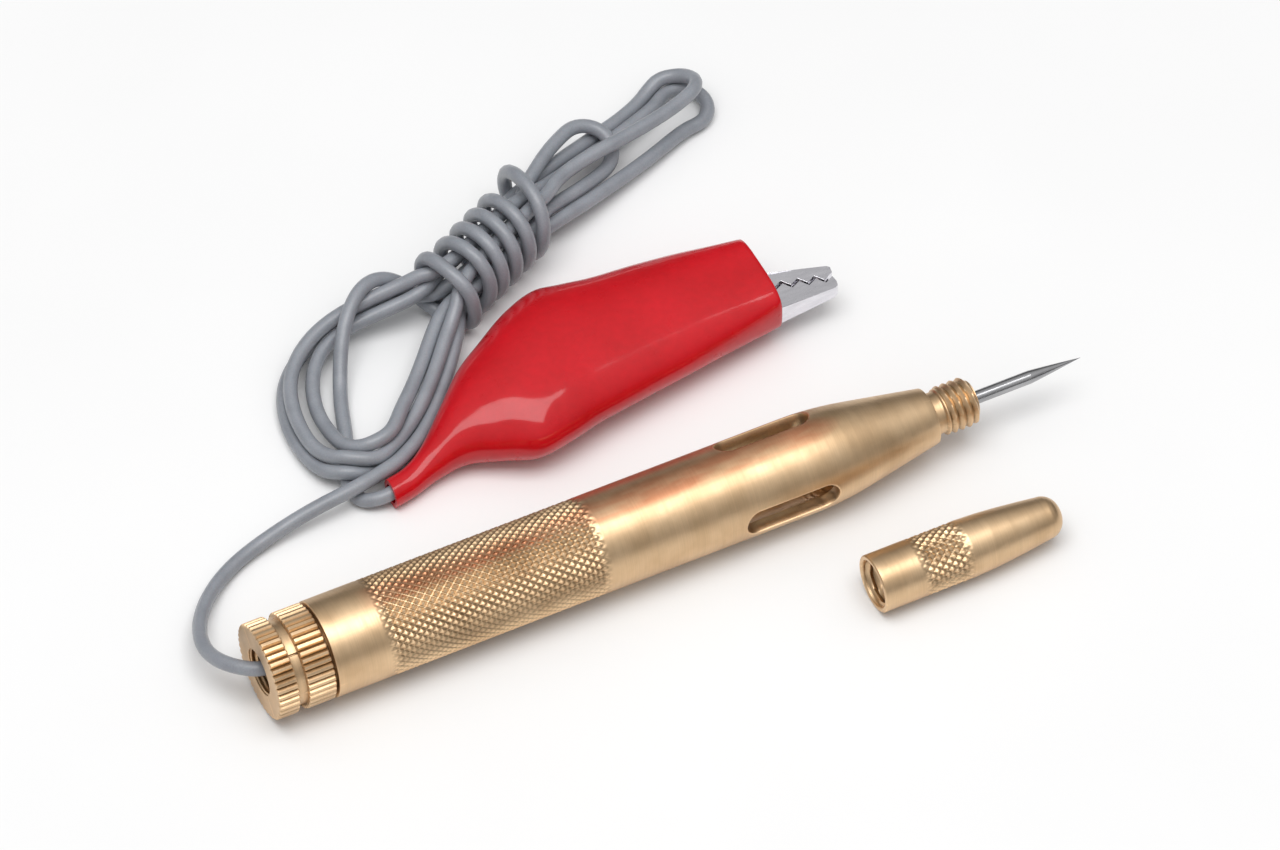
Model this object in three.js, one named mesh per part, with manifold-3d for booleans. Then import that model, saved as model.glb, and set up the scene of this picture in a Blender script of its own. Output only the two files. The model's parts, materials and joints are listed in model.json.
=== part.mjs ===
// A brass car-circuit test lamp: a pen-shaped probe with a bulb inside, its loose screw-on tip cap,
// and a grey lead that ends in an alligator clip in a red PVC boot.
// Millimetres, +Z up. The pen and its cap lie on the bench plane z = 0 with their axes along +X.
// Positions below are bench positions: x from the pen's rear face, y from its axis, z from the bench.
// The outer group then moves the whole part so that its origin is under the middle of pen and cap.
import * as THREE from "three";
import { mergeVertices } from "three/addons/utils/BufferGeometryUtils.js";
import Module from "manifold-3d";

const wasm = await Module();
wasm.setup();

// ---- driving dimensions ----
const GAP = 0.3; // clearance between neighbouring pieces
const ROUND = 40; // sides of a large turned piece
const FINE = 20; // sides of a small turned piece

// Pen, along its axis from the rear face
const PEN_LENGTH = 108.4;
const BARREL_R = 6.0;
const BARREL_REAR_X = 7.6;
const CONE_X = 74.0;
const SHOULDER_X = 87.7;
const SHOULDER_R = 3.5;
const NECK_R = 2.6;
const THREAD_X = 88.8;
const THREAD_END_X = 93.6;
const THREAD_R = 3.05;
const REAR_BORE_R = 4.9;
const LAMP_BORE_R = 4.3;
const LAMP_SEAT_X = 50.0;
const BORE_END_X = 74.2;
const NEEDLE_HOLE_R = 1.15;

// Light slots, three round the barrel
const SLOT_COUNT = 3;
const SLOT_X = 66.8;
const SLOT_LENGTH = 12.2;
const SLOT_WIDTH = 3.6;
const FIRST_SLOT_ANGLE = Math.PI / 3; // from +Y towards +Z; the second slot faces -Y

// Rear cap
const REAR_CAP_R = 5.95;
const REAR_CAP_GROOVE = [2.62, 3.83];
const REAR_CAP_GROOVE_R = 5.2;
const REAR_CAP_FLANGE_X = 7.3;
const SPIGOT_R = 4.6;
const SPIGOT_END_X = 12.8;
const CORD_HOLE_R = 2.93;

// Needle
const NEEDLE_R = 0.81;
const NEEDLE_REAR_X = 78.0;
const NEEDLE_TAPER_X = 102.0;

// Loose tip cap, lying beside the nose
const TIP_CAP_X = 70.9;
const TIP_CAP_Y = -18.3;
const TIP_CAP_R = 3.6;
const TIP_CAP_LENGTH = 24.8;
const TIP_CAP_TAPER = 12.2;
const TIP_CAP_THREAD_R = 3.15;
const TIP_CAP_THREAD_DEPTH = 6.2;
const TIP_CAP_BORE_R = 1.5;
const TIP_CAP_BORE_DEPTH = 21.8;

// Lead
const CORD_R = 0.9;
const CORD_SIDES = 8;
const CORE_R = 0.5;
const WRAP_R = 5.4;
const WRAP_FROM = [45.0, 43.6];
const WRAP_TO = [59.2, 50.9];
const WRAP_MARGIN = 1.2; // the wrap's solid runs this far past its first and last turn
const HANK_HEIGHT = 6.0;

// Clip, lying on its side with its pin upright
const PIN_X = 67.0;
const PIN_Y = 27.2;
const CLIP_Z = 4.6;
const FIXED_HALF_Z = 2.6;
const MOVING_HALF_Z = 1.75;
const SHEET = 0.55; // sheet metal
const PIN_R = 1.0;
const PIN_HOLE_R = 1.3;
const JAW_NARROWS_X = 4.0; // from here to the tip the jaws narrow
const JAW_TIP_X = 21.0;
const JAW_TIP_SCALE = 0.5;
const TOOTH_FROM = 10.0;
const TOOTH_PITCH = 2.0;
const TOOTH_COUNT = 5;
const BOOT_WALL = 0.6;

// Where the origin sits: under the middle of the pen and its loose cap
const ORIGIN_X = PEN_LENGTH / 2;
const ORIGIN_Y = (BARREL_R + TIP_CAP_Y - TIP_CAP_R) / 2;

// ---- materials ----
const finish = (color, roughness, metalness) =>
  new THREE.MeshStandardMaterial({ color, roughness, metalness });
const brass = () => finish(0xc9a55c, 0.35, 1.0);
const steel = () => finish(0xb9b9bd, 0.25, 1.0);
const nickel = () => finish(0xd2d0cc, 0.2, 1.0);
const copper = () => finish(0xb87345, 0.4, 1.0);
const fibre = () => finish(0x7a3b2c, 0.8, 0.0);
const blackGlass = () => finish(0x16161c, 0.15, 0.0);
const greyPvc = () => finish(0x8e9399, 0.4, 0.0);
const redPvc = () => finish(0xd4141c, 0.2, 0.0);
const tungsten = () => finish(0x77746f, 0.5, 1.0);
const solder = () => finish(0xb4b6b8, 0.35, 1.0);
function clearGlass() {
  const glass = finish(0xeef4f6, 0.05, 0.0);
  glass.transparent = true;
  glass.opacity = 0.35;
  return glass;
}

// ---- geometry helpers ----

// Turns a mesh whose faces point inwards the right way round.
function facingOut(geometry) {
  const flat = geometry.index ? geometry.toNonIndexed() : geometry;
  const p = flat.getAttribute("position");
  const [a, b, c] = [new THREE.Vector3(), new THREE.Vector3(), new THREE.Vector3()];
  let volume = 0;
  for (let i = 0; i < p.count; i += 3) {
    a.fromBufferAttribute(p, i);
    b.fromBufferAttribute(p, i + 1);
    c.fromBufferAttribute(p, i + 2);
    volume += a.dot(b.cross(c));
  }
  if (volume > 0) return flat;
  const turned = new Float32Array(p.array.length);
  for (let i = 0; i < p.count; i += 3) {
    for (const [to, from] of [[0, 0], [1, 2], [2, 1]]) {
      turned[3 * (i + to)] = p.getX(i + from);
      turned[3 * (i + to) + 1] = p.getY(i + from);
      turned[3 * (i + to) + 2] = p.getZ(i + from);
    }
  }
  return new THREE.BufferGeometry().setAttribute("position", new THREE.BufferAttribute(turned, 3));
}

// A turned solid about the x axis, from [x, radius] points. The outline starts and ends on the
// axis, or is closed here when it doesn't touch it.
function turned(outline, sides = ROUND) {
  const onAxis = outline[0][1] === 0;
  const closed = onAxis ? outline : [...outline, outline[0]];
  const points = closed.map(([x, r]) => new THREE.Vector2(r, x));
  const lathe = new THREE.LatheGeometry(points, sides);
  lathe.rotateZ(-Math.PI / 2);
  return facingOut(lathe);
}

// An outline in x and y, raised from z0 to z1.
function raised(outline, z0, z1) {
  const shape = new THREE.Shape(outline.map(([x, y]) => new THREE.Vector2(x, y)));
  const solid = new THREE.ExtrudeGeometry(shape, { depth: z1 - z0, bevelEnabled: false });
  solid.translate(0, 0, z0);
  return facingOut(solid);
}

// A round bar along a smooth curve through the points.
function barAlong(points, radius, steps, sides = CORD_SIDES) {
  const curve = new THREE.CatmullRomCurve3(points.map((p) => new THREE.Vector3(...p)), false, "centripetal");
  const ring = [];
  for (let i = 0; i < sides; i++) {
    const angle = (2 * Math.PI * i) / sides;
    ring.push(new THREE.Vector2(radius * Math.cos(angle), radius * Math.sin(angle)));
  }
  return facingOut(new THREE.ExtrudeGeometry(new THREE.Shape(ring), { steps, extrudePath: curve }));
}

// A closed geometry as a manifold-3d solid.
function solidOf(geometry) {
  const bare = geometry.clone();
  bare.deleteAttribute("normal");
  bare.deleteAttribute("uv");
  const merged = mergeVertices(bare, 1e-4);
  const vertProperties = merged.getAttribute("position").array;
  const triVerts = new Uint32Array(merged.index.array);
  return new wasm.Manifold(new wasm.Mesh({ numProp: 3, vertProperties, triVerts }));
}

// A manifold-3d solid as a geometry.
function geometryOf(solid) {
  const { numProp, vertProperties, triVerts } = solid.getMesh();
  const positions = new Float32Array((vertProperties.length / numProp) * 3);
  for (let i = 0; i < positions.length / 3; i++) {
    positions.set(vertProperties.subarray(i * numProp, i * numProp + 3), i * 3);
  }
  const geometry = new THREE.BufferGeometry();
  geometry.setAttribute("position", new THREE.BufferAttribute(positions, 3));
  geometry.setIndex(new THREE.BufferAttribute(triVerts, 1));
  return geometry;
}

function cut(geometry, ...tools) {
  const left = tools.reduce((solid, tool) => solid.subtract(solidOf(tool)), solidOf(geometry));
  return geometryOf(left);
}

function named(name, geometry, material) {
  geometry.computeVertexNormals();
  const mesh = new THREE.Mesh(geometry, material);
  mesh.name = name;
  return mesh;
}

// ---- pen ----

// A round-ended bar that cuts one light slot straight through the barrel's wall on its +Y side.
function slotCutter() {
  const half = SLOT_WIDTH / 2;
  const reach = SLOT_LENGTH / 2 - half;
  const shape = new THREE.Shape();
  shape.moveTo(-reach, -half);
  shape.lineTo(reach, -half);
  shape.absarc(reach, 0, half, -Math.PI / 2, Math.PI / 2);
  shape.lineTo(-reach, half);
  shape.absarc(-reach, 0, half, Math.PI / 2, (3 * Math.PI) / 2);
  const inner = LAMP_BORE_R - 1.5;
  const bar = new THREE.ExtrudeGeometry(shape, {
    depth: BARREL_R + 1 - inner,
    bevelEnabled: false,
    curveSegments: 8,
  });
  bar.rotateX(-Math.PI / 2);
  bar.translate(0, inner, 0);
  return facingOut(bar);
}

function barrel() {
  const shell = turned([
    [BARREL_REAR_X, BARREL_R],
    [CONE_X - 1.2, BARREL_R],
    [CONE_X + 0.8, 5.88],
    [CONE_X + 6, 4.98],
    [SHOULDER_X - 2, 3.86],
    [SHOULDER_X, SHOULDER_R],
    [SHOULDER_X, NECK_R],
    [THREAD_X, NECK_R],
    [THREAD_X, THREAD_R],
    [THREAD_END_X - 0.6, THREAD_R],
    [THREAD_END_X, 2.5],
    [THREAD_END_X, NEEDLE_HOLE_R],
    [BORE_END_X + 2.4, NEEDLE_HOLE_R],
    [BORE_END_X, LAMP_BORE_R],
    [LAMP_SEAT_X, LAMP_BORE_R],
    [LAMP_SEAT_X, REAR_BORE_R],
    [BARREL_REAR_X, REAR_BORE_R],
  ]);
  const slots = [];
  for (let i = 0; i < SLOT_COUNT; i++) {
    const slot = slotCutter();
    slot.rotateX(FIRST_SLOT_ANGLE + (2 * Math.PI * i) / SLOT_COUNT);
    slot.translate(SLOT_X, 0, 0);
    slots.push(slot);
  }
  return named("barrel", cut(shell, ...slots), brass());
}

function rearCap() {
  const [grooveFrom, grooveTo] = REAR_CAP_GROOVE;
  const outline = [
    [0.3, REAR_CAP_R],
    [grooveFrom, REAR_CAP_R],
    [grooveFrom, REAR_CAP_GROOVE_R],
    [grooveTo, REAR_CAP_GROOVE_R],
    [grooveTo, REAR_CAP_R],
    [REAR_CAP_FLANGE_X, REAR_CAP_R],
    [REAR_CAP_FLANGE_X, SPIGOT_R],
    [SPIGOT_END_X, SPIGOT_R],
    [SPIGOT_END_X, CORD_HOLE_R],
    [0, CORD_HOLE_R],
    [0, REAR_CAP_R - 0.3],
  ];
  return named("rear_cap", turned(outline), brass());
}

function thrustWasher() {
  const from = SPIGOT_END_X + GAP;
  const outline = [[from, 4.5], [from + 0.8, 4.5], [from + 0.8, 1.5], [from, 1.5]];
  return named("thrust_washer", turned(outline), fibre());
}

function insulatingSleeve() {
  const outline = [[14.3, 4.6], [48.2, 4.6], [48.2, 4.1], [14.3, 4.1]];
  return named("insulating_sleeve", turned(outline), fibre());
}

// The brass eyelet that the lead's core is crimped into; the spring's rear end seats on its disc.
function cordTerminal() {
  const outline = [
    [21.6, 0],
    [21.6, 3.7],
    [20.8, 3.7],
    [20.8, 1.5],
    [16.4, 1.5],
    [16.4, CORE_R + GAP],
    [20.2, CORE_R + GAP],
    [20.2, 0],
  ];
  return named("cord_terminal", turned(outline, FINE), brass());
}

function cordCorePen() {
  const outline = [[15.9, 0], [15.9, CORE_R], [19.9, CORE_R], [19.9, 0]];
  return named("cord_core_pen", turned(outline, CORD_SIDES), copper());
}

function contactSpring() {
  const [from, to, radius, wire, turns] = [22.35, 39.85, 2.9, 0.4, 9];
  const points = [];
  const perTurn = 10;
  for (let i = 0; i <= turns * perTurn; i++) {
    const angle = (2 * Math.PI * i) / perTurn;
    const x = from + ((to - from) * i) / (turns * perTurn);
    points.push([x, radius * Math.cos(angle), radius * Math.sin(angle)]);
  }
  return named("contact_spring", barAlong(points, wire, turns * perTurn, 6), steel());
}

// The sprung contact that presses on the bulb's tip; its stem keeps the spring straight.
function contactPlunger() {
  const outline = [[32.0, 0], [32.0, 1.5], [32.6, 1.9], [40.6, 1.9], [40.6, 3.7], [41.6, 3.7], [41.6, 0]];
  return named("contact_plunger", turned(outline, FINE), brass());
}

function bulbTip() {
  const outline = [[41.9, 0], [42.1, 0.6], [42.6, 0.95], [43.0, 0.95], [43.0, 0]];
  return named("bulb_tip_contact", turned(outline, FINE), solder());
}

function bulbInsulator() {
  const outline = [[43.3, 0], [43.3, 1.6], [44.5, 2.6], [44.9, 2.6], [44.9, 0]];
  return named("bulb_base_insulator", turned(outline, FINE), blackGlass());
}

// The bulb's brass shell; its flange rests on the step inside the barrel.
function bulbShell() {
  const outline = [
    [45.2, 2.9],
    [48.5, 2.9],
    [48.5, 4.5],
    [LAMP_SEAT_X - GAP, 4.5],
    [LAMP_SEAT_X - GAP, 2.9],
    [53.4, 2.9],
    [53.4, 2.5],
    [45.2, 2.5],
  ];
  return named("bulb_shell", turned(outline), brass());
}

function bulbGlass() {
  const dome = [];
  const inside = [];
  const [shoulder, r, wall] = [67.6, 2.75, 0.4];
  for (let i = 0; i <= 8; i++) {
    const angle = (Math.PI / 2) * (i / 8);
    dome.push([shoulder + 3 * Math.sin(angle), i === 8 ? 0 : r * Math.cos(angle)]);
    inside.unshift([shoulder + (3 - wall) * Math.sin(angle), i === 8 ? 0 : (r - wall) * Math.cos(angle)]);
  }
  const outline = [...inside, [53.7, r - wall], [53.7, r], ...dome];
  return named("bulb_glass", turned(outline, 24), clearGlass());
}

function bulbStem() {
  const outline = [[45.5, 0], [45.5, 1.9], [52.5, 1.9], [54.5, 1.1], [57.0, 1.1], [57.0, 0]];
  return named("bulb_stem", turned(outline, FINE), clearGlass());
}

function supportWire(name, side) {
  const bend = [[57.3, 0.55 * side, 0], [59.5, 0.7 * side, 0], [62.0, 1.5 * side, 0], [63.4, 1.6 * side, 0]];
  return named(name, barAlong(bend, 0.12, 8, 6), nickel());
}

function filament() {
  const points = [];
  const turns = 7;
  for (let i = 0; i <= turns * 6; i++) {
    const angle = (2 * Math.PI * i) / 6;
    const y = -1.15 + (2.3 * i) / (turns * 6);
    points.push([63.1 + 0.16 * Math.cos(angle), y, 0.16 * Math.sin(angle)]);
  }
  return named("filament", barAlong(points, 0.045, turns * 6, 4), tungsten());
}

function probeNeedle() {
  const outline = [[NEEDLE_REAR_X, 0], [NEEDLE_REAR_X, NEEDLE_R], [NEEDLE_TAPER_X, NEEDLE_R]];
  const taper = PEN_LENGTH - NEEDLE_TAPER_X;
  for (const share of [0.25, 0.5, 0.75]) {
    const r = NEEDLE_R * (1 - Math.pow(share, 1.35));
    outline.push([NEEDLE_TAPER_X + taper * share, r]);
  }
  outline.push([PEN_LENGTH, 0]);
  return named("probe_needle", turned(outline, 16), steel());
}

// ---- loose tip cap, open end towards -X ----
function tipCap() {
  const outline = [
    [0, TIP_CAP_R - 0.15],
    [0.2, TIP_CAP_R],
    [TIP_CAP_TAPER, TIP_CAP_R],
    [17.0, 3.35],
    [TIP_CAP_LENGTH - 2.2, 2.72],
    [TIP_CAP_LENGTH - 1.2, 2.4],
    [TIP_CAP_LENGTH - 0.4, 1.5],
    [TIP_CAP_LENGTH, 0],
    [TIP_CAP_BORE_DEPTH + 0.6, 0],
    [TIP_CAP_BORE_DEPTH, TIP_CAP_BORE_R],
    [TIP_CAP_THREAD_DEPTH + 1.6, TIP_CAP_BORE_R],
    [TIP_CAP_THREAD_DEPTH, TIP_CAP_THREAD_R],
    [0, TIP_CAP_THREAD_R],
  ];
  const start = outline.findIndex(([, r]) => r === 0);
  const fromAxis = [...outline.slice(start + 1), ...outline.slice(0, start + 1)];
  const cap = named("tip_cap", turned(fromAxis, 32), brass());
  cap.position.set(TIP_CAP_X, TIP_CAP_Y, TIP_CAP_R);
  return cap;
}

// ---- lead ----

// From the terminal, out of the rear cap's hole, round to the hank; it humps over the tail.
const LEAD_ROUTE = [
  [15.6, 0, 6.0], [12.0, 0, 6.0], [8.0, 0, 6.0], [4.0, 0, 6.0], [1.5, 0.1, 6.1],
  [0, 0.4, 6.2], [-1.5, 1.1, 6.2], [-2.9, 2.6, 5.9], [-3.8, 4.9, 5.1], [-3.9, 7.8, 4.0],
  [-2.9, 11.2, 2.9], [-0.8, 14.8, 1.8], [2.2, 17.9, 1.1], [6.0, 20.2, 0.95], [10.5, 21.5, 1.1],
  [14.5, 22.0, 2.0], [18.0, 22.1, 3.0], [21.5, 22.0, 3.2], [24.5, 22.4, 3.2], [26.0, 22.9, 3.1],
];

// From under the hank into the boot's tail.
const TAIL_ROUTE = [
  [23.0, 24.9, 0.95], [22.8, 23.6, 0.95], [23.4, 22.0, 1.0], [24.7, 20.95, 1.4], [26.2, 20.7, 1.8],
];

// Inside the boot's tail, up to the clip's handle.
const CLIP_END_ROUTE = [
  [26.9, 20.75, 1.9], [29.5, 21.3, 2.1], [33.0, 22.3, 2.7], [37.0, 22.6, 3.7], [42.4, 21.5, 4.6],
];

// The left and right bunches of loops, as the outline that they fill on the bench.
const LEFT_LOOPS = [
  [45.7, 39.0], [43.4, 37.4], [39.9, 34.4], [36.3, 30.9], [32.5, 27.4], [29.5, 25.3], [26.7, 23.9],
  [23.0, 24.9 + GAP + CORD_R], [21.0, 26.6], [19.6, 29.2], [19.0, 33.0], [19.4, 37.2], [20.8, 41.2],
  [23.0, 44.6], [26.6, 47.2], [31.4, 48.7], [36.6, 49.2], [41.7, 46.8],
];
const RIGHT_LOOPS = [
  [63.1, 48.2], [67.3, 50.0], [74.0, 52.6], [81.0, 55.2], [86.8, 58.4], [90.0, 61.6], [90.2, 64.4],
  [88.4, 65.8], [84.0, 64.8], [79.0, 63.2], [75.5, 61.6], [72.0, 61.4], [68.3, 60.9], [64.2, 58.8],
  [59.5, 55.6],
];

function cordBar(name, route, steps) {
  return named(name, barAlong(route, CORD_R, steps), greyPvc());
}

function loops(name, outline) {
  return named(name, raised(outline, 0, HANK_HEIGHT), greyPvc());
}

// The turns wound round the hank's waist, as the round bar that they fill.
function wrap() {
  const dx = WRAP_TO[0] - WRAP_FROM[0];
  const dy = WRAP_TO[1] - WRAP_FROM[1];
  const length = Math.hypot(dx, dy);
  const [from, to] = [-WRAP_MARGIN, length + WRAP_MARGIN];
  const bar = named("cord_wrap", turned([[from, 0], [from, WRAP_R], [to, WRAP_R], [to, 0]], 24), greyPvc());
  bar.rotation.z = Math.atan2(dy, dx);
  bar.position.set(WRAP_FROM[0], WRAP_FROM[1], WRAP_R);
  return bar;
}

// ---- clip, drawn about its pin: x forwards, y across the jaws, z along the pin ----

// The toothed line between the jaws; shift moves it across to leave room between them.
function toothLine(shift) {
  const line = [];
  for (let i = 0; i < TOOTH_COUNT; i++) {
    const x = TOOTH_FROM + TOOTH_PITCH * i;
    const drift = -1.35 - 0.075 * (x - TOOTH_FROM);
    line.push([x, drift - 0.5 + shift], [x + 0.8, drift + 0.5 + shift]);
  }
  return line;
}

// The jaws' sheet is narrower towards the tips.
function narrowed(geometry) {
  const p = geometry.getAttribute("position");
  for (let i = 0; i < p.count; i++) {
    const share = THREE.MathUtils.clamp((p.getX(i) - JAW_NARROWS_X) / (JAW_TIP_X - JAW_NARROWS_X), 0, 1);
    p.setZ(i, p.getZ(i) * (1 - (1 - JAW_TIP_SCALE) * share));
  }
  return geometry;
}

// One half of the clip: a bent channel of sheet, cut from its side outline, with a hole for the pin.
function clipHalf(outline, pocket, halfZ) {
  const hole = new THREE.CylinderGeometry(PIN_HOLE_R, PIN_HOLE_R, 20, FINE);
  hole.rotateX(Math.PI / 2);
  const inner = halfZ - SHEET;
  const channel = cut(raised(outline, -halfZ, halfZ), raised(pocket, -inner, inner), hole);
  return narrowed(channel);
}

function fixedJaw() {
  const outline = [
    [-23.0, -7.2], [-22.0, -7.6], [0, -4.3], [JAW_NARROWS_X, -3.9], [12.5, -3.45], [19.6, -3.5],
    [20.7, -3.1], [20.9, -2.1], [20.4, -1.8],
    ...toothLine(-0.15).reverse(),
    [7.5, -1.5], [JAW_NARROWS_X, 0.2], [2.6, 2.2], [0.9, 3.0], [-0.9, 3.0], [-2.6, 2.2],
    [-5.0, -1.8], [-9.0, -4.2], [-22.0, -6.2],
  ];
  const pocket = [
    [-24.0, -7.44], [-22.0, -7.04], [0, -3.74], [JAW_NARROWS_X, -3.34], [12.5, -2.89], [19.4, -2.95],
    [20.2, -2.7], [20.2, 6.0], [-24.0, 6.0],
  ];
  return named("clip_fixed_jaw", clipHalf(outline, pocket, FIXED_HALF_Z), nickel());
}

function movingJaw() {
  const outline = [
    [-13.6, 8.6], [-13.0, 9.2], [-6.0, 6.8], [0, 4.7], [JAW_NARROWS_X, 3.7], [12.5, 1.5],
    [19.2, -0.6], [19.9, -1.0],
    ...toothLine(0.15).reverse(),
    [7.5, -0.8], [JAW_NARROWS_X, -1.6], [2.6, -2.4], [0.9, -2.9], [-0.9, -2.9], [-2.6, -2.2],
    [-4.4, 0], [-6.6, 4.6], [-13.3, 7.3],
  ];
  const pocket = [
    [-15.0, 9.3], [-13.0, 8.6], [-6.0, 6.22], [0, 4.13], [JAW_NARROWS_X, 3.13], [12.5, 0.93],
    [21.5, -2.0], [21.5, -9.0], [-15.0, -9.0],
  ];
  return named("clip_moving_jaw", clipHalf(outline.reverse(), pocket.reverse(), MOVING_HALF_Z), nickel());
}

// The rivet that both halves turn on.
function clipPin() {
  const [end, head] = [FIXED_HALF_Z + GAP + 0.5, FIXED_HALF_Z + GAP];
  const outline = [
    [-end, 0], [-end, 1.3], [-head, 1.8], [-head, PIN_R],
    [head, PIN_R], [head, 1.8], [end, 1.3], [end, 0],
  ];
  const pin = turned(outline, FINE);
  pin.rotateY(Math.PI / 2);
  return named("clip_pin", pin, nickel());
}

// The torsion spring round the pin, with one leg in each handle.
function clipSpring() {
  const [radius, wire, turns, perTurn] = [1.7, 0.28, 2.5, 10];
  const rise = 0.62;
  const half = (rise * turns) / 2;
  const points = [[-8.0, -4.3, -half], [-4.0, -2.9, -half]];
  const first = -2.2; // the angle at which the lower leg meets the coil
  for (let i = 0; i <= turns * perTurn; i++) {
    const angle = first + (2 * Math.PI * i) / perTurn;
    const z = -half + (rise * i) / perTurn;
    points.push([radius * Math.cos(angle), radius * Math.sin(angle), z]);
  }
  points.push([-3.2, 2.9, half], [-7.0, 5.3, half]);
  return named("clip_spring", barAlong(points, wire, 44, 6), steel());
}

// The lead's bare strands, laid in the fixed handle's channel.
function cordCoreClip() {
  const route = [[42.75, 21.5, 4.6], [45.5, 21.4, 4.6], [49.5, 21.9, 4.6]];
  return named("cord_core_clip", barAlong(route, CORE_R, 6), copper());
}

// The boot's cross sections from tail to mouth: x, middle y, half width, half height, squareness.
const BOOT_SECTIONS = [
  [26.6, 20.7, 1.8, 1.8, 2.0],
  [29.5, 21.3, 1.85, 1.9, 2.0],
  [32.5, 22.5, 2.3, 2.4, 2.0],
  [36.5, 24.2, 4.0, 3.5, 2.1],
  [40.5, 25.0, 6.4, 4.3, 2.3],
  [44.5, 25.2, 8.5, 4.8, 2.6],
  [49.0, 26.8, 9.3, 5.0, 2.8],
  [53.5, 28.2, 9.6, 5.0, 2.8],
  [57.0, 28.3, 9.0, 5.0, 2.8],
  [61.0, 28.3, 8.3, 4.9, 2.9],
  [66.0, 28.5, 7.9, 4.8, 3.0],
  [71.0, 28.8, 7.5, 4.7, 3.2],
  [76.0, 28.8, 7.0, 4.6, 3.4],
  [79.6, 28.7, 6.4, 4.5, 3.6],
];

// One ring of points round a section, inset by the wall for the boot's inside.
function bootRing([x, y, width, height, power], inset, sides) {
  const ring = [];
  for (let i = 0; i < sides; i++) {
    const angle = (2 * Math.PI * i) / sides;
    const across = Math.sign(Math.cos(angle)) * Math.pow(Math.abs(Math.cos(angle)), 2 / power);
    const up = Math.sign(Math.sin(angle)) * Math.pow(Math.abs(Math.sin(angle)), 2 / power);
    ring.push([x, y + (width - inset) * across, height + (height - inset) * up]);
  }
  return ring;
}

// The PVC boot: an open sleeve, its outside and inside skins joined at the tail and at the mouth.
function clipBoot() {
  const sides = 24;
  const outside = BOOT_SECTIONS.map((s) => bootRing(s, 0, sides));
  const inside = BOOT_SECTIONS.map((s) => bootRing(s, BOOT_WALL, sides));
  const rings = [...outside, ...inside.reverse()];
  const positions = [];
  for (let k = 0; k < rings.length; k++) {
    const [here, next] = [rings[k], rings[(k + 1) % rings.length]];
    for (let i = 0; i < sides; i++) {
      const j = (i + 1) % sides;
      positions.push(...here[i], ...here[j], ...next[j]);
      positions.push(...here[i], ...next[j], ...next[i]);
    }
  }
  const sleeve = new THREE.BufferGeometry();
  sleeve.setAttribute("position", new THREE.Float32BufferAttribute(positions, 3));
  return named("clip_boot", facingOut(sleeve), redPvc());
}

// ---- assembly ----
const pen = new THREE.Group();
pen.position.z = BARREL_R;
pen.add(
  barrel(), rearCap(), thrustWasher(), insulatingSleeve(), cordTerminal(), cordCorePen(),
  contactSpring(), contactPlunger(), bulbTip(), bulbInsulator(), bulbShell(), bulbGlass(), bulbStem(),
  supportWire("bulb_support_wire_left", 1), supportWire("bulb_support_wire_right", -1), filament(),
  probeNeedle(),
);

const lead = new THREE.Group();
lead.add(
  cordBar("cord_lead", LEAD_ROUTE, 30), loops("cord_loops_left", LEFT_LOOPS), wrap(),
  loops("cord_loops_right", RIGHT_LOOPS), cordBar("cord_tail", TAIL_ROUTE, 8),
  cordBar("cord_clip_end", CLIP_END_ROUTE, 10), cordCoreClip(),
);

const clip = new THREE.Group();
clip.position.set(PIN_X, PIN_Y, CLIP_Z);
clip.add(fixedJaw(), movingJaw(), clipPin(), clipSpring());

const testLamp = new THREE.Group();
testLamp.add(pen, tipCap(), lead, clip, clipBoot());
testLamp.position.set(-ORIGIN_X, -ORIGIN_Y, 0);

export default testLamp;
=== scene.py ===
import json
from math import ceil, cos, hypot, pi, radians, sin

import bmesh
import bpy
import numpy as np
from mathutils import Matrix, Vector


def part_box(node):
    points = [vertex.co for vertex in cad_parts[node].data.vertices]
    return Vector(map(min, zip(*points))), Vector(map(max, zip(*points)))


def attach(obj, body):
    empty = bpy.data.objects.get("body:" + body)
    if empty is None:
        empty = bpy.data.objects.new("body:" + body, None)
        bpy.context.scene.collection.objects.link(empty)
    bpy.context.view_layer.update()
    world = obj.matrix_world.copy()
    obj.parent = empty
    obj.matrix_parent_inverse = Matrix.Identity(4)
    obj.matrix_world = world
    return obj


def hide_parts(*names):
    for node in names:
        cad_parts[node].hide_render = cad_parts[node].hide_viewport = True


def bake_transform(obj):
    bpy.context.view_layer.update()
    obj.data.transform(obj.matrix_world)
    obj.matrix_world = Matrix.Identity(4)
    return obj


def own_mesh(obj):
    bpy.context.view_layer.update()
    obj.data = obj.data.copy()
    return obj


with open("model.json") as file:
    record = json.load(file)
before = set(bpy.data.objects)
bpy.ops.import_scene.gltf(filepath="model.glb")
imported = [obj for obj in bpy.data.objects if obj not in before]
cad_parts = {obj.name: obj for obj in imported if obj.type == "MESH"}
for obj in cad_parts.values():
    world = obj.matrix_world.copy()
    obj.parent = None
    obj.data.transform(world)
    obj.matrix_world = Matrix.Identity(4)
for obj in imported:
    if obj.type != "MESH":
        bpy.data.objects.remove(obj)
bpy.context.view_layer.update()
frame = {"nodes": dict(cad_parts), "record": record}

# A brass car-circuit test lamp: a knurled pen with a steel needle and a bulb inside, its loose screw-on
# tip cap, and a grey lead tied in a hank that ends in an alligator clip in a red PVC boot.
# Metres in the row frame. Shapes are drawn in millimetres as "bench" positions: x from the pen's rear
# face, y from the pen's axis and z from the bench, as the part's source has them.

MM = 0.001

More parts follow.
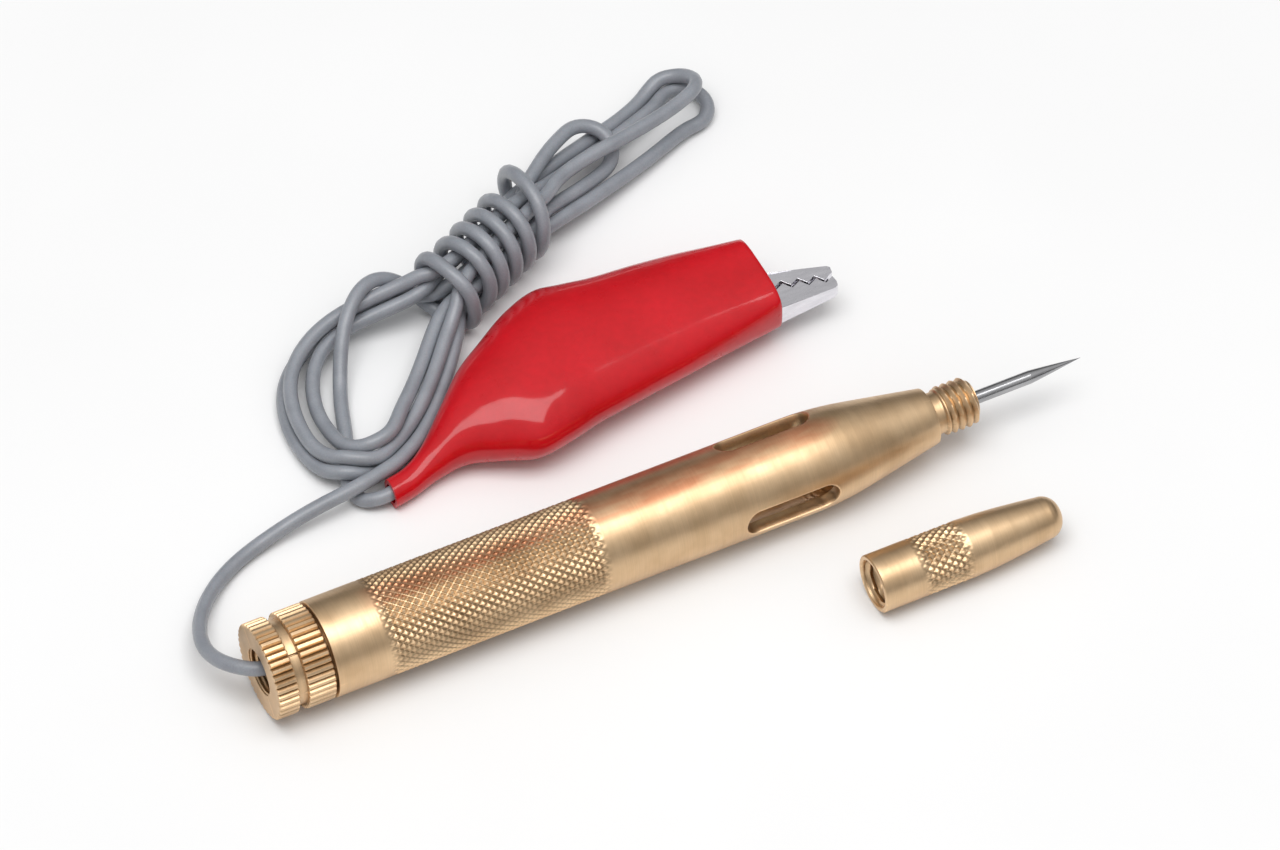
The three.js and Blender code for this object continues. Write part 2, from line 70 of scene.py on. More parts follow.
# ---- the frame ----
CAP_LOW, CAP_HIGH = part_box("rear_cap")
BARREL_LOW, BARREL_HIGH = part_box("barrel")
TIP_LOW, TIP_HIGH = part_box("tip_cap")
PIN_LOW, PIN_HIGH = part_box("clip_pin")
PEN_REAR = CAP_LOW[0]
PEN_Y = (BARREL_LOW[1] + BARREL_HIGH[1]) / 2
PEN_Z = (BARREL_LOW[2] + BARREL_HIGH[2]) / 2
TIP_AXIS = Vector((TIP_LOW[0], (TIP_LOW[1] + TIP_HIGH[1]) / 2, (TIP_LOW[2] + TIP_HIGH[2]) / 2))
PIVOT = Vector([(low + high) / 2 for low, high in zip(PIN_LOW, PIN_HIGH)])
PEN_AXIS = Vector((PEN_REAR, PEN_Y, PEN_Z))
BENCH = Vector((PEN_REAR, PEN_Y, 0.0))


def bench(x, y, z=0.0):
    """A bench position in millimetres as a point in the row frame."""
    return BENCH + Vector((x, y, z)) * MM


# ---- driving dimensions, in millimetres ----
BARREL_R = (BARREL_HIGH[1] - BARREL_LOW[1]) / 2 / MM
BARREL_TOP = BARREL_HIGH[2] / MM
BARREL_REAR_X = (BARREL_LOW[0] - PEN_REAR) / MM
BARREL_END_X = (BARREL_HIGH[0] - PEN_REAR) / MM
CONE_X = 74.0
CONE_FILLET = 4.0
SHOULDER_X = 87.7
SHOULDER_R = 3.5
NECK_R = 2.6
THREAD_X = 89.4
THREAD_R = 3.05
THREAD_PITCH = 0.98
THREAD_DEPTH = 0.42
REAR_BORE_R = 4.9
LAMP_BORE_R = 4.3
LAMP_SEAT_X = 50.0
LAMP_BORE_END_X = 74.2
NEEDLE_HOLE_X = 76.6
NEEDLE_HOLE_R = 1.15
BORE_STEP = 0.4  # mesh steps along the lamp's bore and beside the slots
RIB_PITCH, RIB_DEPTH = 0.8, 0.16  # of the ribs seen in the slots
KNURL_FROM, KNURL_TO = 14.3, 43.1
KNURL_PITCH = 1.24
KNURL_AROUND = 36
KNURL_DEPTH = 0.3
KNURL_FADE = 1.3  # how gently the knurling starts and ends
THREAD_FADE = 0.35  # the same for a thread
DIAMOND_FLAT = 1.35  # above 1, the diamonds have flat tops
PER_DIAMOND = 8  # mesh steps across a diamond

SLOT_COUNT = 3
SLOT_X = 66.8
SLOT_LENGTH = 12.2
SLOT_WIDTH = 3.6
SLOT_MARGIN = 1.0  # the mesh is fitted to a slot this far beyond its ends
SLOT_FROM = SLOT_X - SLOT_LENGTH / 2 - SLOT_MARGIN
SLOT_TO = SLOT_X + SLOT_LENGTH / 2 + SLOT_MARGIN
SLOT_EDGE = 0.2  # rounding of a slot's rim

CAP_R = (CAP_HIGH[1] - CAP_LOW[1]) / 2 / MM
CAP_GROOVE = (2.62, 3.83)
CAP_GROOVE_R = 5.2
CAP_FLANGE_X = 7.3
CAP_HOLE_R = 2.93
CAP_SPIGOT_R = 4.6
CAP_END_X = 12.8
CAP_THREAD_PITCH, CAP_THREAD_DEPTH = 0.7, 0.3
SLIT_TURN, SLIT_HALF_TURN = radians(121), radians(1.3)  # where the saw slit in the groove is
SLIT_DEPTH = 0.5
CAP_RIDGES = 42
RIDGE_DEPTH = 0.42

NEEDLE_R = 0.81
NEEDLE_REAR_X = 78.0
NEEDLE_TAPER_X = 101.4
PEN_LENGTH = 108.4

TIP_R = (TIP_HIGH[1] - TIP_LOW[1]) / 2 / MM
TIP_LENGTH = (TIP_HIGH[0] - TIP_LOW[0]) / MM
TIP_KNURL = (5.2, 12.0)
TIP_KNURL_AROUND = 22
TIP_MOUTH_R, TIP_MOUTH_END = 2.95, 6.2
TIP_BORE_R, TIP_BORE_END = 1.5, 21.8
TIP_NARROWS_BY = 0.95  # the cap's radius at its nose is this much less

CORD_R = 0.9

SHEET = 0.55  # the thickness of the clip's metal
BOOT_WALL = 0.6
BOOT_SIDES = 80
LIP_ROUND = 0.12


def placed(name, data):
    obj = bpy.data.objects.new(name, data)
    bpy.context.scene.collection.objects.link(obj)
    return obj


# ---- camera ----
VIEW_ELEVATION = radians(50.0)
VIEW_TURN = radians(26.345)  # the pen's far end points away from the camera by this much
VIEW_DISTANCE = 1.0
VIEW_AIM = bench(58.56, 18.48)
FILM_WIDTH = 36.0
LENS = 234.3


def camera():
    flat = cos(VIEW_ELEVATION)
    forward = Vector((sin(VIEW_TURN) * flat, cos(VIEW_TURN) * flat, -sin(VIEW_ELEVATION)))
    lens = bpy.data.cameras.new("camera")
    lens.lens = LENS
    lens.sensor_width = FILM_WIDTH
    lens.clip_start = 0.01
    holder = placed("camera", lens)
    holder.location = VIEW_AIM - forward * VIEW_DISTANCE
    holder.rotation_euler = forward.to_track_quat("-Z", "Y").to_euler()
    bpy.context.scene.camera = holder


# ---- materials ----
class Shader:
    """A Principled material, with short ways to feed its sockets from procedural textures."""

    def __init__(self, name, **constants):
        self.material = bpy.data.materials.new(name)
        self.material.use_nodes = True
        self.nodes = self.material.node_tree.nodes
        self.bsdf = self.nodes["Principled BSDF"]
        for socket, value in constants.items():
            self.bsdf.inputs[socket.replace("_", " ")].default_value = value

    def node(self, kind, **values):
        made = self.nodes.new(kind)
        for key, value in values.items():
            setattr(made, key, value)
        return made

    def link(self, source, target):
        self.material.node_tree.links.new(source, target)

    def place(self, stretch=(1.0, 1.0, 1.0)):
        """Object coordinates in millimetres, each axis stretched by its factor."""
        mapping = self.node("ShaderNodeMapping")
        mapping.inputs["Scale"].default_value = [s / MM for s in stretch]
        self.link(self.node("ShaderNodeTexCoord").outputs["Object"], mapping.inputs["Vector"])
        return mapping.outputs["Vector"]

    def noise(self, scale, stretch=(1.0, 1.0, 1.0), detail=3.0, roughness=0.5):
        texture = self.node("ShaderNodeTexNoise")
        texture.inputs["Scale"].default_value = scale
        texture.inputs["Detail"].default_value = detail
        texture.inputs["Roughness"].default_value = roughness
        self.link(self.place(stretch), texture.inputs["Vector"])
        return texture.outputs["Fac"]

    def between(self, axis, low, high):
        """How far a point lies between two places along that axis in millimetres, from 0 to 1."""
        parts = self.node("ShaderNodeSeparateXYZ")
        self.link(self.place(), parts.inputs["Vector"])
        share = self.node("ShaderNodeMapRange", interpolation_type="SMOOTHSTEP")
        share.inputs["From Min"].default_value = low
        share.inputs["From Max"].default_value = high
        self.link(parts.outputs[axis], share.inputs["Value"])
        return share.outputs["Result"]

    def ramp(self, source, stops):
        """A colour or grey from source: stops are (position, colour or grey)."""
        ramp = self.node("ShaderNodeValToRGB")
        elements = ramp.color_ramp.elements
        while len(elements) < len(stops):
            elements.new(0.5)
        for element, (position, value) in zip(elements, stops):
            element.position = position
            rgb = value if hasattr(value, "__len__") else (value, value, value)
            element.color = (*rgb, 1.0)
        self.link(source, ramp.inputs["Fac"])
        return ramp.outputs["Color"]

    def times(self, factor, a, b):
        mix = self.node("ShaderNodeMix", data_type="RGBA", blend_type="MULTIPLY")
        mix.inputs["Factor"].default_value = factor
        self.link(a, mix.inputs["A"])
        self.link(b, mix.inputs["B"])
        return mix.outputs["Result"]

    def feed(self, socket, source):
        self.link(source, self.bsdf.inputs[socket])

    def bump(self, source, strength, distance=0.05 * MM):
        bump = self.node("ShaderNodeBump")
        bump.inputs["Strength"].default_value = strength
        bump.inputs["Distance"].default_value = distance
        self.link(source, bump.inputs["Height"])
        previous = self.bsdf.inputs["Normal"]
        if previous.is_linked:
            self.link(previous.links[0].from_socket, bump.inputs["Normal"])
        self.link(bump.outputs["Normal"], previous)


def brass():
    """Turned brass: fine rings, bright worn crests, hollows darkened as painted shade and soft tarnish,
    with a painted reddish reflection and shade along the barrel's top from its knurling onwards."""
    s = Shader("brass", Metallic=1.0)
    tarnish = s.ramp(s.noise(0.22), [(0.35, (0.655, 0.45, 0.262)), (0.65, (0.775, 0.553, 0.337))])
    rings = s.ramp(s.noise(3.0, (3.0, 0.04, 0.04), 4.0), [(0.3, 0.9), (0.7, 1.0)])
    pointiness = s.node("ShaderNodeNewGeometry").outputs["Pointiness"]
    # painted shade: hollows are darkened by pointiness; raised crests are lightened as worn brass
    edges = s.ramp(pointiness, [(0.44, 0.5), (0.5, 1.0), (0.56, 1.2)])
    color = s.times(1.0, s.times(0.8, tarnish, rings), edges)
    # painted reflection and shade: the barrel's top, from its knurling on, is darkened and reddened in
    # soft patches
    patchy_reflection = s.ramp(s.noise(0.5, (0.3, 1.0, 1.0), 4.0), [(0.3, 0.3), (0.6, 1.0)])
    along_top = s.ramp(s.between("Z", BARREL_TOP - 0.45, BARREL_TOP - 0.1), [(0.0, 0.0), (1.0, 1.0)])
    knurl_x = PEN_REAR / MM + KNURL_FROM
    past_cap = s.ramp(s.between("X", knurl_x - 2.0, knurl_x + 2.0), [(0.0, 0.0), (1.0, 1.0)])
    painted_reflection_share = s.times(1.0, patchy_reflection, s.times(1.0, along_top, past_cap))
    painted_reflection_tint = s.ramp(painted_reflection_share, [(0.0, (1.0, 1.0, 1.0)), (1.0, (0.86, 0.56, 0.5))])
    s.feed("Base Color", s.times(1.0, color, painted_reflection_tint))
    s.feed("Roughness", s.ramp(s.noise(2.2, (2.5, 0.15, 0.15), 4.0), [(0.3, 0.34), (0.7, 0.46)]))
    s.bump(s.noise(4.0, (3.0, 0.03, 0.03), 3.0), 0.12, 0.015 * MM)
    s.bump(s.noise(1.5, detail=4.0), 0.08, 0.02 * MM)
    return s.material


def bright_metal(name, dark, light, rough, stretch):
    s = Shader(name, Metallic=1.0)
    s.feed("Base Color", s.ramp(s.noise(0.8, stretch, 4.0), [(0.3, dark), (0.7, light)]))
    s.feed("Roughness", s.ramp(s.noise(2.5, stretch, 4.0), [(0.3, rough * 0.8), (0.7, rough * 1.4)]))
    s.bump(s.noise(5.0, stretch, 2.0), 0.1, 0.01 * MM)
    return s.material


def steel():
    return bright_metal("steel", (0.34, 0.34, 0.35), (0.44, 0.44, 0.45), 0.2, (0.3, 2.0, 2.0))


def nickel():
    return bright_metal("nickel", (0.70, 0.69, 0.73), (0.82, 0.81, 0.85), 0.2, (0.5, 2.0, 2.0))


def copper():
    return bright_metal("copper", (0.65, 0.30, 0.15), (0.85, 0.45, 0.26), 0.3, (0.3, 3.0, 3.0))


def tungsten():
    return bright_metal("tungsten", (0.25, 0.24, 0.22), (0.4, 0.39, 0.37), 0.4, (1.0, 3.0, 3.0))


def solder():
    return bright_metal("solder", (0.45, 0.46, 0.47), (0.62, 0.63, 0.64), 0.3, (1.0, 1.0, 1.0))


def fibre():
    s = Shader("fibre", Roughness=0.75)
    grain = s.noise(3.0, (0.3, 2.0, 2.0), 5.0)
    s.feed("Base Color", s.ramp(grain, [(0.3, (0.12, 0.04, 0.02)), (0.7, (0.26, 0.1, 0.06))]))
    s.bump(s.noise(4.0, (0.3, 2.0, 2.0), 4.0), 0.3)
    return s.material


def black_glass():
    s = Shader("black_glass", Coat_Weight=0.4)
    s.feed("Base Color", s.ramp(s.noise(1.5), [(0.3, (0.006, 0.006, 0.008)), (0.7, (0.02, 0.02, 0.026))]))
    s.feed("Roughness", s.ramp(s.noise(2.0), [(0.3, 0.12), (0.7, 0.22)]))
    return s.material


def clear_glass():
    s = Shader("clear_glass", Transmission_Weight=1.0, IOR=1.48)
    s.feed("Base Color", s.ramp(s.noise(0.6), [(0.3, (0.93, 0.96, 0.95)), (0.7, (0.99, 1.0, 1.0))]))
    s.feed("Roughness", s.ramp(s.noise(1.2), [(0.3, 0.02), (0.7, 0.06)]))
    return s.material


def grey_pvc():
    """Soft grey insulation: semi-gloss, a little cloudy, with faint scuffs and extrusion grain."""
    s = Shader("grey_pvc", Coat_Weight=0.3, Coat_Roughness=0.24,
               Subsurface_Weight=0.04, Subsurface_Scale=0.5 * MM)
    cloud = s.ramp(s.noise(0.35, detail=4.0), [(0.3, (0.245, 0.26, 0.29)), (0.7, (0.30, 0.316, 0.35))])
    scuffs = s.ramp(s.noise(5.0, detail=6.0, roughness=0.7), [(0.35, 0.82), (0.6, 1.0)])
    s.feed("Base Color", s.times(0.7, cloud, scuffs))
    s.feed("Roughness", s.ramp(s.noise(1.8, detail=5.0), [(0.3, 0.34), (0.7, 0.48)]))
    s.bump(s.noise(2.2, detail=5.0), 0.14, 0.04 * MM)
    return s.material


def red_pvc():
    """Dip-moulded red PVC: glossy and slightly translucent, with shallow ripples and a faint mottle."""
    s = Shader("red_pvc", Specular_IOR_Level=0.08, Coat_Weight=0.75, Coat_Roughness=0.09,
               Subsurface_Weight=0.08, Subsurface_Scale=0.8 * MM, Subsurface_Radius=(1.0, 0.1, 0.08))
    cloud = s.ramp(s.noise(0.12, detail=4.0), [(0.3, (0.52, 0.002, 0.007)), (0.7, (0.62, 0.003, 0.011))])
    mottle = s.ramp(s.noise(1.1, detail=5.0), [(0.3, 0.88), (0.7, 1.0)])
    s.feed("Base Color", s.times(0.8, cloud, mottle))
    s.feed("Roughness", s.ramp(s.noise(0.6, detail=5.0), [(0.3, 0.26), (0.7, 0.36)]))
    s.bump(s.noise(0.16, detail=2.0), 0.25, 0.4 * MM)
    s.bump(s.noise(1.6, detail=3.0), 0.1, 0.03 * MM)
    return s.material


def floor_paper():
    s = Shader("floor_paper", Roughness=0.9)
    s.feed("Base Color", s.ramp(s.noise(0.02), [(0.3, 0.86), (0.7, 0.88)]))
    return s.material


MAKERS = (
    brass, steel, nickel, copper, tungsten, solder, fibre, black_glass, clear_glass, grey_pvc, red_pvc,
)
MATERIALS = {make.__name__: make() for make in MAKERS}


def paint(obj, slot):
    obj.data.materials.clear()
    obj.data.materials.append(MATERIALS[slot])


def paint_nodes():
    """Every carried-over CAD node gets its slot's procedural material."""
    for part in frame["record"]["subparts"]:
        paint(frame["nodes"][part["node"]], part["material_slot"])


# ---- mesh helpers ----
WELD = 0.002 * MM
LONGEST_STEP = 1.5  # for outline points that name no step
def mesh_object(name, verts, faces, sharp=38.0):
    """An object from vertices in metres, smooth except where faces meet at more than sharp degrees."""
    mesh = bpy.data.meshes.new(name)
    mesh.from_pydata(np.asarray(verts).tolist(), [], [list(f) for f in faces])
    tidy = bmesh.new()
    tidy.from_mesh(mesh)
    bmesh.ops.remove_doubles(tidy, verts=tidy.verts, dist=WELD)
    bmesh.ops.recalc_face_normals(tidy, faces=tidy.faces)
    tidy.to_mesh(mesh)
    tidy.free()
    mesh.shade_smooth()
    mesh.set_sharp_from_angle(angle=radians(sharp))
    return placed(name, mesh)


def evaluated_mesh(obj):
    """A new mesh of obj with its modifiers or its bevel applied."""
    bpy.context.view_layer.update()
    return bpy.data.meshes.new_from_object(obj.evaluated_get(bpy.context.evaluated_depsgraph_get()))


def finished(obj, slot, body, *nodes):
    """Paints a piece, hides the CAD nodes that it stands for, and lets it ride on its body."""
    paint(obj, slot)
    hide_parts(*nodes)
    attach(obj, body)
    return obj


def softened(outline, radius, closed):
    """The outline of (x, r, step) points with each corner cut back into a short round."""
    count = len(outline)
    out = []
    for i, (x, r, step) in enumerate(outline):
        if not closed and i in (0, count - 1):
            out.append((x, r, step))
            continue
        here = np.array((x, r))
        before = np.array(outline[i - 1][:2]) - here
        after = np.array(outline[(i + 1) % count][:2]) - here
        cut = min(radius, 0.45 * np.linalg.norm(before), 0.45 * np.linalg.norm(after))
        start = here + before / np.linalg.norm(before) * cut
        end = here + after / np.linalg.norm(after) * cut
        for share in (0.0, 0.33, 0.67, 1.0):
            point = (1 - share) ** 2 * start + 2 * share * (1 - share) * here + share**2 * end
            out.append((*point, step))
    return out


def rows(outline, radius=0.12, closed=True):
    """The outline's stations (x, r): its corners softened and its stretches cut to their steps."""
    full = softened([(*p, LONGEST_STEP) if len(p) == 2 else p for p in outline], radius, closed)
    stations = []
    following = full[1:] + full[:1] if closed else full[1:]
    for (x0, r0, step), (x1, r1, _) in zip(full, following):
        pieces = max(1, ceil(hypot(x1 - x0, r1 - r0) / step - 1e-6))
        for k in range(pieces):
            stations.append((x0 + (x1 - x0) * k / pieces, r0 + (r1 - r0) * k / pieces))
    if not closed:
        stations.append(full[-1][:2])
    return np.array(stations)


def spun(stations, columns, relief=None):
    """The vertices of stations turned about the x axis, as an array of station, column and x, y, z."""
    theta = np.arange(columns) * 2 * pi / columns
    x = np.repeat(stations[:, :1], columns, axis=1)
    r = np.repeat(stations[:, 1:], columns, axis=1)
    if relief:
        r = r + relief(x, r, theta[None, :])
    return np.stack([x, r * np.cos(theta), r * np.sin(theta)], axis=2)


def grid_faces(count, columns, closed, skip=None):
    last = count if closed else count - 1
    i, j = np.meshgrid(np.arange(last), np.arange(columns), indexing="ij")
    if skip is not None:
        keep = ~skip(i, j)
        i, j = i[keep], j[keep]
    ii, jj = (i + 1) % count, (j + 1) % columns
    corners = [i * columns + j, i * columns + jj, ii * columns + jj, ii * columns + j]
    return np.stack([c.ravel() for c in corners], axis=1).tolist()


def turned(name, stations, columns, axis, relief=None, closed=True):
    """A turned piece whose own x axis starts at the point axis."""
    verts = spun(stations, columns, relief).reshape(-1, 3) * MM + np.array(axis)
    return mesh_object(name, verts, grid_faces(len(stations), columns, closed))


# ---- surface relief, as a change of radius ----
def wave(value):
    """A triangle wave: 0 at whole numbers and 1 half way between them."""
    return 2 * np.abs(value - np.round(value))


def band(x, start, end, fade):
    return np.clip((x - start) / fade, 0, 1) * np.clip((end - x) / fade, 0, 1)


def diamonds(x, theta, start, end, around):
    """Diamond knurling: two crossing sets of grooves with flat-topped diamonds between them."""
    turn = around * theta / (2 * pi)
    along = (x - start) / KNURL_PITCH
    height = np.minimum(wave(turn + along), wave(turn - along))
    return -KNURL_DEPTH * (1 - np.clip(height * DIAMOND_FLAT, 0, 1)) * band(x, start, end, KNURL_FADE)


def screw(x, theta, start, end, pitch, depth):
    """A screw thread's grooves."""
    return -depth * (1 - wave(x / pitch - theta / (2 * pi))) * band(x, start, end, THREAD_FADE)


# ---- barrel ----
def barrel_outline():
    """The barrel's closed outline: along the outside to the nose, then back through the bore. The same x
    stops stand beside the slots outside and inside, so that the two have as many rows there."""
    fillet_xs = (CONE_X - 4.0, CONE_X - 2.6, CONE_X - 1.3)
    knurl_step = KNURL_PITCH / PER_DIAMOND
    outside = [
        (BARREL_REAR_X, BARREL_R, 1.0),
        (KNURL_FROM - 0.1, BARREL_R, knurl_step),
        (KNURL_TO + 0.1, BARREL_R, 1.2),
        (SLOT_FROM, BARREL_R, BORE_STEP),
        *[(x, cone_radius(x), BORE_STEP) for x in (*fillet_xs, SLOT_TO)],
        *[(x, cone_radius(x), 1.0) for x in (CONE_X + 1.4, CONE_X + 2.7, CONE_X + 4.0)],
        (SHOULDER_X, SHOULDER_R, 0.3),
        (SHOULDER_X, NECK_R, 0.4),
        (THREAD_X - 0.4, NECK_R, 0.1),
        (THREAD_X, THREAD_R, 0.09),
        (BARREL_END_X - 0.6, THREAD_R, 0.09),
        (BARREL_END_X, 2.45, 0.3),
    ]
    inside = [
        (BARREL_END_X, NEEDLE_HOLE_R, 2.0),
        (NEEDLE_HOLE_X, NEEDLE_HOLE_R, 0.5),
        (LAMP_BORE_END_X, LAMP_BORE_R, BORE_STEP),
        (SLOT_TO, LAMP_BORE_R, BORE_STEP),
        *[(x, LAMP_BORE_R, BORE_STEP) for x in reversed(fillet_xs)],
        (SLOT_FROM, LAMP_BORE_R, 1.5),
        (LAMP_SEAT_X, LAMP_BORE_R, 0.4),
        (LAMP_SEAT_X, REAR_BORE_R, 3.0),
        (BARREL_REAR_X, REAR_BORE_R, 0.5),
    ]
    return outside + inside


def cone_radius(x):
    """The outside radius of the barrel towards its nose: a long fillet, then the straight cone."""
    slope = (BARREL_R - SHOULDER_R) / (SHOULDER_X - CONE_X)
    past = x - CONE_X
    if past < -CONE_FILLET:
        return BARREL_R
    if past < CONE_FILLET:
        return BARREL_R - slope * (past + CONE_FILLET) ** 2 / (4 * CONE_FILLET)
    return BARREL_R - slope * past


def bore_radius(_):
    return LAMP_BORE_R


def barrel_relief(x, r, theta):
    outside = r > BARREL_R - 0.01
    knurl = diamonds(x, theta, KNURL_FROM, KNURL_TO, KNURL_AROUND)
    nose = (x > THREAD_X - 0.2) & (r > NECK_R - 0.3)
    thread = screw(x, theta, THREAD_X - 0.2, BARREL_END_X + 0.2, THREAD_PITCH, THREAD_DEPTH)
    lining = (np.abs(r - LAMP_BORE_R) < 0.02) & (x > SLOT_X)
    ribs = screw(x, theta, SLOT_X, LAMP_BORE_END_X - 0.1, RIB_PITCH, RIB_DEPTH)
    return np.where(outside, knurl, 0) + np.where(nose, thread, 0) + np.where(lining, ribs, 0)


def slot_outline(shares, spread):
    """Points round a slot's rim at the given shares of its length, grown outwards by spread."""
    radius = SLOT_WIDTH / 2 + spread
    line = SLOT_LENGTH - SLOT_WIDTH
    arc = pi * radius / 2
    d = shares * (4 * arc + 2 * line)
    bent = np.clip(d, 0, arc) + np.clip(d - arc - line, 0, 2 * arc)
    bent += np.clip(d - 3 * arc - 2 * line, 0, arc)
    moved = np.clip(d - arc, 0, line) - np.clip(d - 3 * arc - line, 0, line)
    along = line / 2 - moved + radius * np.cos(bent / radius)
    return np.stack([along, radius * np.sin(bent / radius)], axis=1)


def frame_of_cells(start, end, left, right, middle):
    """The (row, column) vertices round a block of cells, from the middle of its start row."""
    onwards = 1 if end > start else -1
    around = [(start, j) for j in range(middle, right)]
    around += [(i, right) for i in range(start, end, onwards)]
    around += [(end, j) for j in range(right, left, -1)]
    around += [(i, left) for i in range(end, start, -onwards)]
    around += [(start, j) for j in range(left, middle)]
    return around


def barrel():
    """The barrel, with its three light slots meshed to their round-ended rims."""
    columns = KNURL_AROUND * PER_DIAMOND
    stations = rows(barrel_outline())
    count = len(stations)
    verts = spun(stations, columns, barrel_relief).reshape(-1, 3)
    inside_slot = (stations[:, 0] > SLOT_FROM + 0.15) & (stations[:, 0] < SLOT_TO - 0.15)
    outer_rows = np.flatnonzero(inside_slot & (stations[:, 1] > 5.0))
    inner_rows = np.flatnonzero(inside_slot & (np.abs(stations[:, 1] - LAMP_BORE_R) < 0.01))
    half = columns // 12
    middles = [columns // 6 + columns * k // SLOT_COUNT for k in range(SLOT_COUNT)]
    cut = np.zeros((count, columns), bool)
    added = []
    extra = []
    step = 2 * pi / columns

    def on_barrel(x, angle, radius):
        extra.append((x, radius * cos(angle), radius * sin(angle)))
        return len(verts) + len(extra) - 1

    for middle in middles:
        cut[outer_rows[0]:outer_rows[-1], middle - half:middle + half] = True
        cut[inner_rows[0]:inner_rows[-1], middle - half:middle + half] = True
        outer = frame_of_cells(outer_rows[-1], outer_rows[0], middle - half, middle + half, middle)
        inner = frame_of_cells(inner_rows[0], inner_rows[-1], middle - half, middle + half, middle)
        flat = np.array([(stations[i, 0] - SLOT_X, BARREL_R * (j - middle) * step) for i, j in outer])
        lengths = np.linalg.norm(np.roll(flat, -1, axis=0) - flat, axis=1)
        shares = np.concatenate([[0], np.cumsum(lengths)[:-1]]) / lengths.sum()
        rings = [[i * columns + j for i, j in outer]]

        def ring(spread, radius_of, toward=None, share=0.0):
            made = []
            for k, (dx, w) in enumerate(slot_outline(shares, spread)):
                x = SLOT_X + dx
                radius = radius_of(x)
                angle = np.arcsin(w / radius)
                if toward is not None:
                    i, j = toward[k]
                    x += share * (stations[i, 0] - x)
                    angle += share * ((j - middle) * step - angle)
                    radius = radius_of(x)
                made.append(on_barrel(x, angle + middle * step, radius))
            return made

        for share in (0.75, 0.5, 0.25, 0.1):
            rings.append(ring(SLOT_EDGE, cone_radius, outer, share))
        rings.append(ring(SLOT_EDGE, cone_radius))
        rings.append(ring(SLOT_EDGE * 0.3, lambda x: cone_radius(x) - SLOT_EDGE * 0.3))
        rings.append(ring(0, lambda x: cone_radius(x) - SLOT_EDGE))
        rings.append(ring(0, lambda x: LAMP_BORE_R + SLOT_EDGE))
        rings.append(ring(SLOT_EDGE * 0.7, bore_radius))
        for share in (0.33, 0.67):
            rings.append(ring(SLOT_EDGE * 0.7, bore_radius, inner, share))
        rings.append([i * columns + j for i, j in inner])
        for a, b in zip(rings, rings[1:]):
            for k in range(len(a)):
                n = (k + 1) % len(a)
                added.append([a[k], a[n], b[n], b[k]])

    faces = grid_faces(count, columns, True, lambda i, j: cut[i, j]) + added
    everything = np.concatenate([verts, np.array(extra)]) * MM + np.array(PEN_AXIS)
    return finished(mesh_object("barrel_turned", everything, faces), "brass", "pen_and_lead", "barrel")


# ---- rear cap ----
def cap_relief(x, r, theta):
    """Straight knurling on both rings, a saw slit in the groove and a thread in the hole."""
    phase = (CAP_RIDGES * theta / (2 * pi)) % 1.0
    valley = np.clip(1 - np.minimum(phase, 1 - phase) / 0.3, 0, 1)
    ridges = -RIDGE_DEPTH * valley * (r > CAP_GROOVE_R + 0.15)
    hole = (r < CAP_HOLE_R + 0.05) & (x > 0.2)
    thread = -screw(x, theta, 0.4, 12.0, CAP_THREAD_PITCH, CAP_THREAD_DEPTH) - CAP_THREAD_DEPTH
    slit = (np.abs(theta - SLIT_TURN) < SLIT_HALF_TURN) & (np.abs(r - CAP_GROOVE_R) < 0.05)
    return ridges * (x < CAP_FLANGE_X + 0.05) + np.where(hole, thread, 0) * 0.5 - SLIT_DEPTH * slit


def rear_cap():
    groove_from, groove_to = CAP_GROOVE
    outline = [
        (0.0, CAP_HOLE_R, 0.5),
        (0.0, CAP_R - 0.12, 0.1),
        (0.14, CAP_R, 0.5),
        (groove_from - 0.1, CAP_R, 0.1),
        (groove_from, CAP_R - 0.1, 0.2),
        (groove_from, CAP_GROOVE_R, 0.3),
        (groove_to, CAP_GROOVE_R, 0.2),
        (groove_to, CAP_R - 0.1, 0.1),
        (groove_to + 0.1, CAP_R, 0.6),
        (CAP_FLANGE_X - 0.12, CAP_R, 0.1),
        (CAP_FLANGE_X, CAP_R - 0.12, 0.4),
        (CAP_FLANGE_X, CAP_SPIGOT_R, 1.0),
        (CAP_END_X, CAP_SPIGOT_R, 0.6),
        (CAP_END_X, CAP_HOLE_R, 0.12),
    ]
    cap = turned("rear_cap_turned", rows(outline, 0.06), CAP_RIDGES * 10, PEN_AXIS, cap_relief)
    return finished(cap, "brass", "rear_cap_body", "rear_cap")


# ---- needle ----
def needle():
    outline = [(NEEDLE_REAR_X, 0, 0.4), (NEEDLE_REAR_X, NEEDLE_R, 1.0), (NEEDLE_TAPER_X, NEEDLE_R, 0.5)]
    taper = PEN_LENGTH - NEEDLE_TAPER_X
    for k in range(1, 9):
        outline.append((NEEDLE_TAPER_X + taper * k / 9, NEEDLE_R * (1 - (k / 9) ** 1.08), 0.5))
    outline.append((PEN_LENGTH, 0.0, 0.5))
    piece = turned("needle_ground", rows(outline, 0.05, closed=False), 40, PEN_AXIS, closed=False)
    return finished(piece, "steel", "pen_and_lead", "probe_needle")


# ---- loose tip cap ----
def tip_relief(x, r, theta):
    knurl = diamonds(x, theta, *TIP_KNURL, TIP_KNURL_AROUND)
    mouth = (r < 3.16) & (x < TIP_MOUTH_END)
    thread = -screw(x, theta, 0.25, TIP_MOUTH_END, THREAD_PITCH, 0.4)
    return np.where(r > TIP_R - 0.02, knurl, 0) - np.where(mouth, thread, 0)


